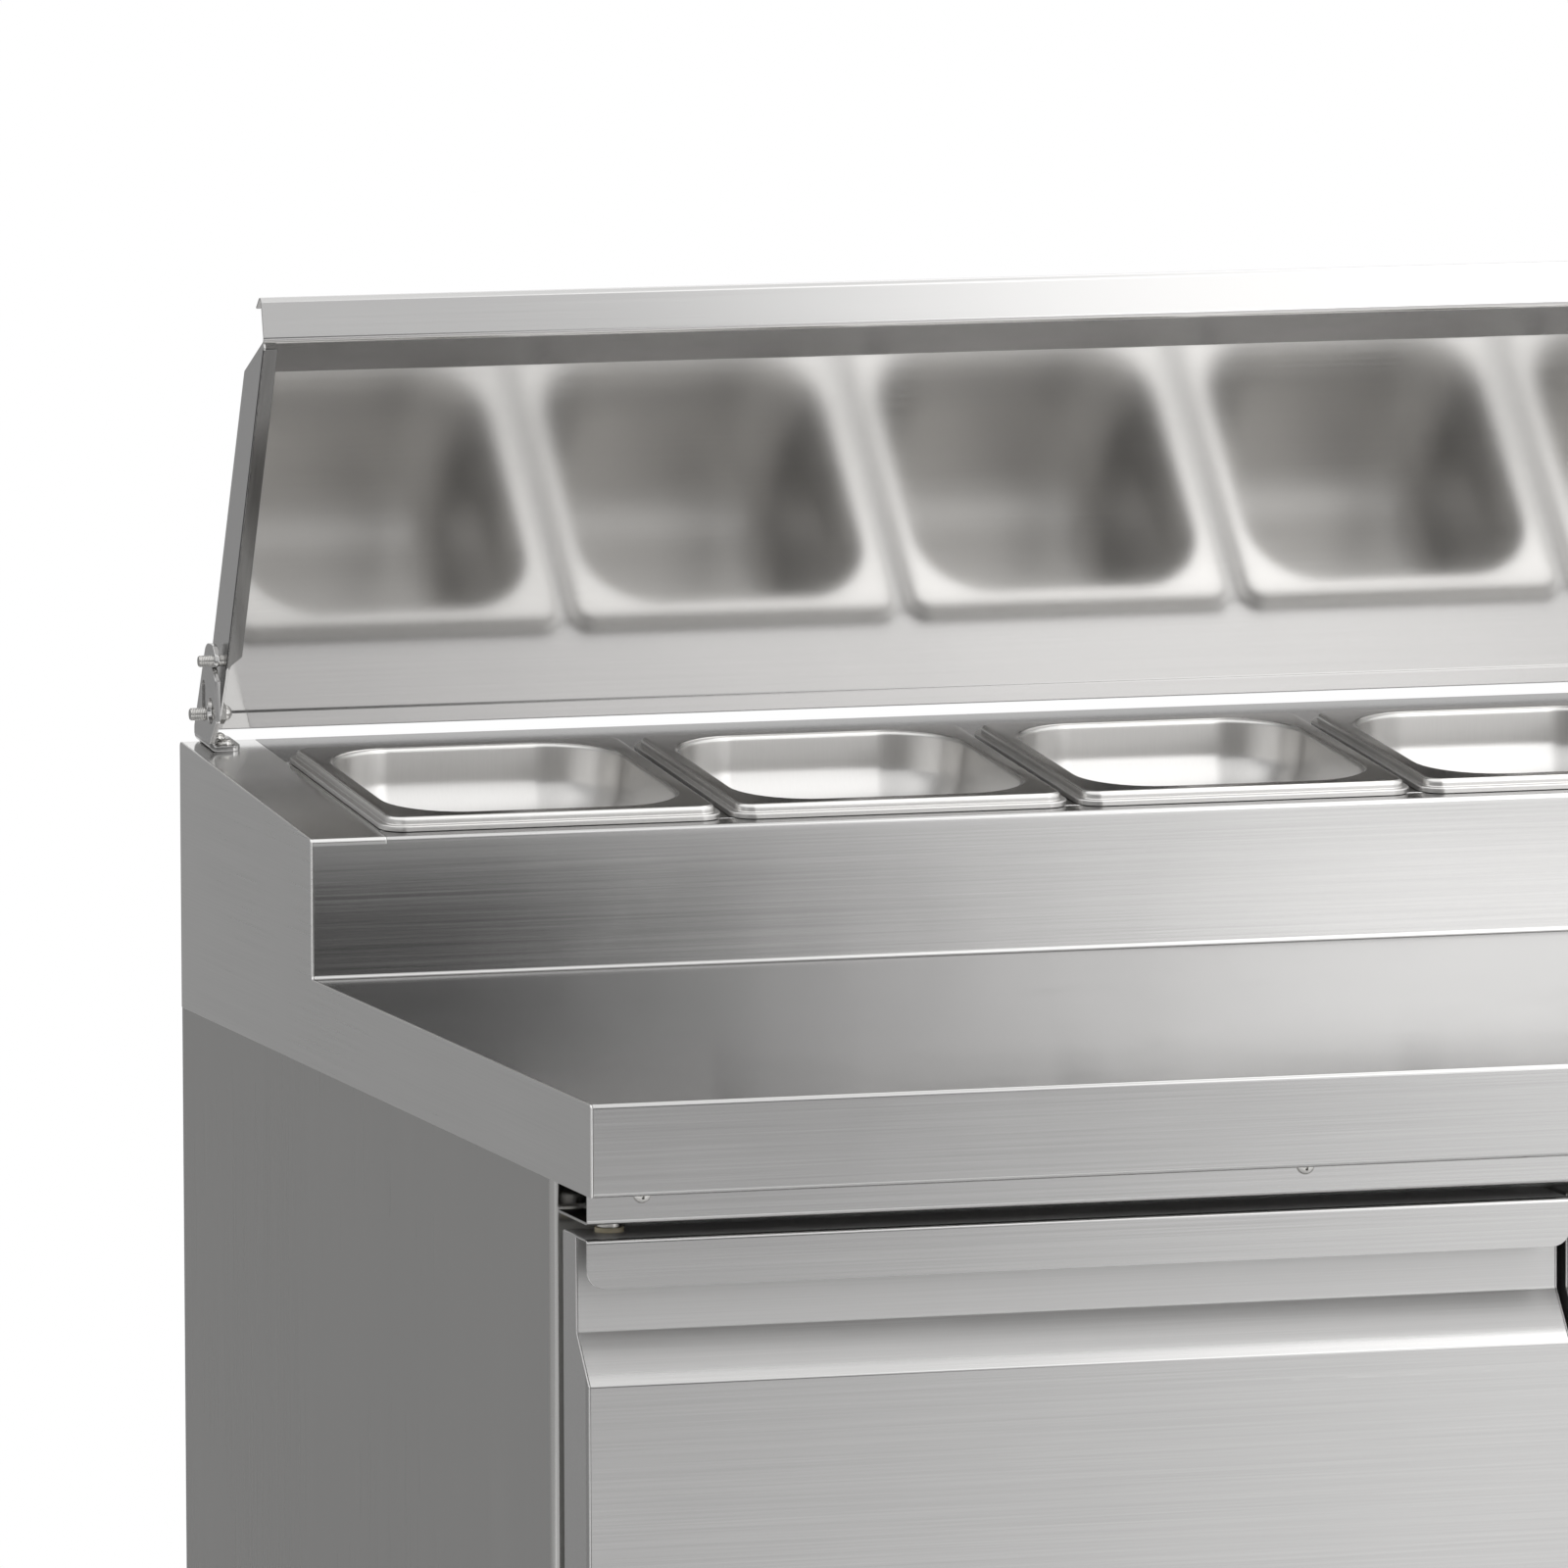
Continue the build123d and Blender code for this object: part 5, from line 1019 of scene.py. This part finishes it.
def makeFeet():
    # lathe shapes: a rounded pad, a cone up to the neck, grip grooves round the neck and the threaded stem
    shape = footShape
    pad, neck, neckEnd, stem = shape["padRadius"], shape["neckRadius"], shape["neckEnd"], shape["stemRadius"]
    low, high = shape["padEdges"]
    (coneOut, coneDown), (fillet, filletUp), edge = shape["coneTop"], shape["neckFillet"], shape["neckEdge"]
    coneEnd = shape["padHeight"] + shape["coneHeight"]
    level = np.linspace(coneEnd + shape["gripEnds"][0], neckEnd - shape["gripEnds"][1], 60)
    wave = 0.5 - 0.5 * np.cos((level - level[0]) * 2 * pi / shape["groovePitch"])
    profile = np.concatenate([
        quarterArc(pad - low, low, low, -90, 0),
        quarterArc(pad - high, shape["padHeight"] - high, high, 0, 66),
        [(neck + coneOut, coneEnd - coneDown)],
        quarterArc(neck + fillet, coneEnd + filletUp, fillet, 205, 180),
        np.stack([neck - shape["groove"] * wave ** 2, level], 1),
        quarterArc(neck - edge, neckEnd - edge, edge, 0, 90), [(stem, neckEnd), (stem, shape["stemEnd"])],
    ])
    for corner, (x, y) in shape["places"].items():
        node = "foot_" + corner
        shell = turned(profile, (x, y, 0), zAxis, 48)
        makePiece(node + "_turned", [shell], node, finish["brightBolt"], [node])


louvreShape = {
    "half": 447.0, "front": -338.6, "rear": -285.0, "low": 97.0, "high": 241.0, "bend": 2.0, "rows": 7,
    "pitch": 14.0, "opening": 5.0, "depth": 5.0, "length": 170.0, "offset": 240.0, "hoodLift": 1.2,
    "cutout": (59.5, 17.5), "slotCorner": 1.0, "panelCorner": 3.0, "faceEdge": 0.12, "hoodEdge": 0.6,
    "overlap": 1.0, "endPower": 16, "endSoft": 0.25,
}


def louvreHood(left, slotTop):
    # a pressed hood: a quarter ellipse from the sheet out to its lip, flattened towards both ends
    shape = louvreShape
    along = np.linspace(0, 1, 40)
    full = (1 - np.abs(2 * along - 1) ** shape["endPower"]) ** shape["endSoft"]
    bow = np.linspace(0, pi / 2, 9)
    drop = (shape["opening"] + shape["hoodLift"]) * (1 - np.cos(bow))
    out = shape["depth"] * np.sin(bow)
    thick = counter["sheet"]
    outY = np.concatenate([-out, (-out + thick)[::-1]])
    outZ = np.concatenate([shape["hoodLift"] - drop, (shape["hoodLift"] - shape["hoodEdge"] - drop)[::-1]])
    y = shape["front"] + np.where(outY < 0, outY, 0) * full[:, None] + np.where(outY > 0, outY, 0)
    x = np.broadcast_to((left + along * shape["length"])[:, None], y.shape)
    return ringStack(np.stack([x, y, np.broadcast_to(slotTop + outZ, y.shape)], -1))


def makeLouvrePanel():
    # the machine cover: front sheet with slots, edges bent back, and a hood over each slot
    shape = louvreShape
    middle = (shape["low"] + shape["high"]) / 2
    halfZ = (shape["high"] - shape["low"]) / 2
    axes = (np.array([0, shape["front"], middle]), xAxis, zAxis, yAxis)
    thick, bend, deep = counter["sheet"], shape["bend"], shape["rear"] - shape["front"]
    outer = quarterArc(bend, bend, bend, 270, 180)
    inner = quarterArc(bend, bend, bend - thick, 180, 270)
    lap, corner = bend + shape["overlap"], shape["slotCorner"]
    ring = np.concatenate([[(lap, 0)], outer, [(0, deep), (thick, deep)], inner, [(lap, thick)]])
    edges = frameRound(ring, shape["half"], halfZ, shape["panelCorner"], axes)
    half, opening = shape["length"] / 2, shape["opening"]
    middles = [(row - (shape["rows"] - 1) / 2) * shape["pitch"] for row in range(shape["rows"])]
    spots = [(side * shape["offset"], level) for level in middles for side in (-1, 1)]
    slots = [np.array(spot) + roundRect(half, opening / 2, corner, 3) for spot in spots]
    slots.append(roundRect(*shape["cutout"], corner, 3))
    sheet = roundRect(shape["half"] - bend, halfZ - bend, corner, 4)
    face = cutPlate(sheet, slots, 0, thick, axes, shape["faceEdge"])
    hoods = [louvreHood(x - half, middle + level + opening / 2) for x, level in spots]
    makePiece("machine_cover", [edges, face, *hoods], "cabinet", finish["brushedSteel"],
              ["louvre_panel"])


for makeGroup in (makeWorktop, makeEndCaps, makeRearRail, makeBars, makePans, makeLid, makeLidBolts,
                  makeBrackets, makeScrews,
                  makeDoorSkins, makeGaskets, makeShelves, makeFeet, makeLouvrePanel):
    makeGroup()
makeFan("evaporator_fan_rotor", "evaporator_fan", (0.0, 206.2, 634.5))
makeFan("condenser_fan_rotor", "condenser_fan", (-230.0, -208.0, 160.2))
print("pieces made")

# CAD nodes that keep their own mesh, by finish
keptNodes = {
    "linerSteel": ["inner_liner", "front_frame"],
    "brushedSteel": ["upper_hinge_rail", "lower_hinge_rail"],
    "brushedSide": ["left_side_panel", "right_side_panel"],
    "brightBolt": ["hinge_pins"],
    "galvanised": ["back_panel", "base_tray", "cabinet_floor", "condenser_shroud", "drip_tray"],
    "foam": ["insulation"],
    "doorLiner": ["left_door_inner", "right_door_inner"],
    "blackGasket": ["cord_gland"],
    "nylonBush": ["left_door_bushes", "right_door_bushes"],
    "wireCoating": ["shelf_rails"],
    "finAluminium": ["evaporator_coil", "condenser", "evaporator_housing"],
    "machinePaint": ["compressor", "evaporator_fan_motor", "condenser_fan_motor"],
    "copperPipe": ["refrigerant_pipes"],
    "controlPlastic": ["controller"],
    "keyPlastic": ["controller_key_1", "controller_key_2", "controller_key_3"],
    "displayWindow": ["controller_window"],
    "switchPlastic": ["power_switch"],
}
for look, names in keptNodes.items():
    for name in names:
        nodes[name].data.materials.clear()
        nodes[name].data.materials.append(finish[look])
print("finishes given to", sum(len(names) for names in keptNodes.values()), "nodes")

# Studio: floor, cards that only reflections see, lamps, world and camera
studio = {
    "floorRadius": 6.0, "floorFade": (1.1, 2.6), "floorTone": 0.78, "floorMottle": 0.02,
    "floorRoughness": 0.6, "ambient": 0.4,
    "cards": [
        # name, two opposite corners in metres, axis along which the tone changes, its span, greys
        ("frontUpper", (-6, -3.2, 1.65), (1.9, -3.2, 3.7), 0, (0.8, 1.15), (0.75, 1.75)),
        ("frontUpperRight", (1.9, -3.2, 1.65), (6, -3.2, 3.7), 0, (1.9, 3.0), (1.2, 1.1)),
        ("frontMiddle", (-6, -3.2, 0.85), (1.9, -3.2, 1.65), 0, (0.56, 1.16), (0.06, 2.7)),
        ("frontMiddleRight", (1.9, -3.2, 0.85), (6, -3.2, 1.65), 0, (1.9, 3.0), (1.3, 1.1)),
        ("frontLow", (-6, -3.2, 0.38), (6, -3.2, 0.85), 0, (0.5, 1.05), (0.43, 1.04)),
        ("frontFoot", (-6, -3.2, 0.0), (6, -3.2, 0.38), 0, (0.4, 0.95), (0.66, 1.02)),
        ("behindLeft", (-0.6, 1.6, 0), (-4, 1.6, 3), 2, (0.0, 3.0), (0.4, 0.4)),
        ("farLeft", (-4, 1.6, 0), (-4, -3.2, 3), 2, (0.0, 3.0), (0.47, 0.4)),
        ("floorLeft", (-0.5, -0.3, 0.003), (-4, 1.6, 0.003), 0, (-4.0, -0.5), (0.4, 0.4)),
        ("ceiling", (-6, -6, 4.4), (2, 6, 4.4), 0, (0.85, 1.45), (1.1, 2.2)),
        ("ceilingRight", (2, -6, 4.4), (6, 6, 4.4), 0, (2, 3), (1.3, 1.15)),
    ],
    "lamps": [
        # name, place, aim, size, power
        ("keySoftbox", (1.9, -2.4, 3.2), (0.0, 0.0, 0.8), 2.2, 42),
        ("fillSoftbox", (-2.6, -2.2, 2.4), (0.0, 0.0, 0.7), 2.0, 10),
        ("topSoftbox", (0.3, -0.2, 3.9), (0.0, 0.0, 0.8), 2.2, 26),
    ],
}


def lightPathMask(tree):
    # one where the ray is seen directly, in a reflection or through glass
    path = addNode(tree, "LightPath")
    some = maths(tree, "MAXIMUM", path.outputs["Is Camera Ray"], path.outputs["Is Glossy Ray"])
    return maths(tree, "MAXIMUM", some, path.outputs["Is Transmission Ray"])


def onStage(name, mesh, material):
    mesh.materials.append(material)
    item = bpy.data.objects.new(name, mesh)
    bpy.context.scene.collection.objects.link(item)
    return item


def buildFloor():
    # a disc whose pale finish gives way to the white background away from the counter
    rim = np.column_stack([studio["floorRadius"] * onCircle(roundAngles(96)), np.zeros(96)])
    mesh = bpy.data.meshes.new("studioFloor")
    mesh.from_pydata(rim.tolist(), [], [list(range(96))])
    material, tree, shader = blankMaterial("paleFloor")
    place = objectPlace(tree)
    far = addNode(tree, "VectorMath", {0: place}, operation="LENGTH").outputs["Value"]
    low, high = studio["floorFade"]
    fade = addNode(tree, "MapRange", {"Value": far, "From Min": low, "From Max": high},
                   interpolation_type="SMOOTHSTEP").outputs[0]
    seen = maths(tree, "MULTIPLY", fade, lightPathMask(tree))
    white = addNode(tree, "Emission", {"Color": (1, 1, 1, 1), "Strength": 1.0})
    tone, spread = np.full(3, studio["floorTone"]), studio["floorMottle"]
    cloud = toneMix(tree, noiseAt(tree, place, 2.0, 3.0), tone * (1 - spread), tone * (1 + spread))
    tree.links.new(cloud, shader.inputs["Base Color"])
    shader.inputs["Roughness"].default_value = studio["floorRoughness"]
    blend = addNode(tree, "MixShader", {0: seen, 1: shader.outputs[0], 2: white.outputs[0]})
    tree.links.new(blend.outputs[0], tree.nodes["Material Output"].inputs["Surface"])
    onStage("studioFloor", mesh, material)


def buildCard(name, start, stop, axis, span, greys):
    # a grey card with an even change of tone along one axis, seen in reflections only
    start, stop = np.array(start, float), np.array(stop, float)
    first, second = (np.eye(3)[i] * (stop - start) for i in range(3) if start[i] != stop[i])
    mesh = bpy.data.meshes.new(name)
    mesh.from_pydata([start, start + first, stop, start + second], [], [(0, 1, 2, 3)])
    material, tree, shader = blankMaterial(name)
    tree.nodes.remove(shader)
    place = addNode(tree, "SeparateXYZ", {0: objectPlace(tree)})
    glow = addNode(tree, "Emission", {"Strength": rangeOf(tree, place.outputs[axis], *greys, *span)})
    tree.links.new(glow.outputs[0], tree.nodes["Material Output"].inputs["Surface"])
    card = onStage(name, mesh, material)
    card.visible_camera = card.visible_diffuse = card.visible_shadow = card.visible_transmission = False


def buildLamp(name, place, aim, size, power):
    data = bpy.data.lights.new(name, "AREA")
    data.size, data.energy = size, power
    lamp = bpy.data.objects.new(name, data)
    lamp.location = place
    lamp.rotation_euler = (Vector(aim) - Vector(place)).to_track_quat("-Z", "Y").to_euler()
    lamp.visible_camera = lamp.visible_glossy = False  # reflections come from the cards
    bpy.context.scene.collection.objects.link(lamp)


def buildWorld():
    world = bpy.data.worlds.new("studioWhite")
    bpy.context.scene.world = world
    world.use_nodes = True
    tree = world.node_tree
    level = rangeOf(tree, lightPathMask(tree), studio["ambient"], 1.0, 0.0, 1.0)
    tree.nodes["Background"].inputs["Color"].default_value = (1, 1, 1, 1)
    tree.links.new(level, tree.nodes["Background"].inputs["Strength"])


buildFloor()
for card in studio["cards"]:
    buildCard(*card)
for lamp in studio["lamps"]:
    buildLamp(*lamp)
buildWorld()
bpy.context.scene.view_settings.view_transform = "Standard"

# Camera fitted to the photograph: long lens, a little to the left and above
cameraFit = {
    "place": (-2.4579, -7.4422, 1.8085), "yaw": 0.287225, "pitch": 0.110847, "roll": -0.003877,
    "focalPixels": 17702.6, "framePixels": 1600.0, "sensor": 36.0,
}


def buildCamera():
    data = bpy.data.cameras.new("photoCamera")
    data.sensor_width = cameraFit["sensor"]
    data.lens = cameraFit["focalPixels"] * cameraFit["sensor"] / cameraFit["framePixels"]
    data.clip_end = 100.0
    yaw, pitch = cameraFit["yaw"], cameraFit["pitch"]
    ahead = Vector((sin(yaw) * cos(pitch), cos(yaw) * cos(pitch), -sin(pitch)))
    right = Vector((cos(yaw), -sin(yaw), 0))
    up = right.cross(ahead)
    turn = Matrix((right, up, -ahead)).transposed().to_4x4()
    camera = bpy.data.objects.new("photoCamera", data)
    roll = Matrix.Rotation(cameraFit["roll"], 4, "Z")
    camera.matrix_world = Matrix.Translation(cameraFit["place"]) @ turn @ roll
    bpy.context.scene.collection.objects.link(camera)
    bpy.context.scene.camera = camera


buildCamera()
print("studio ready")
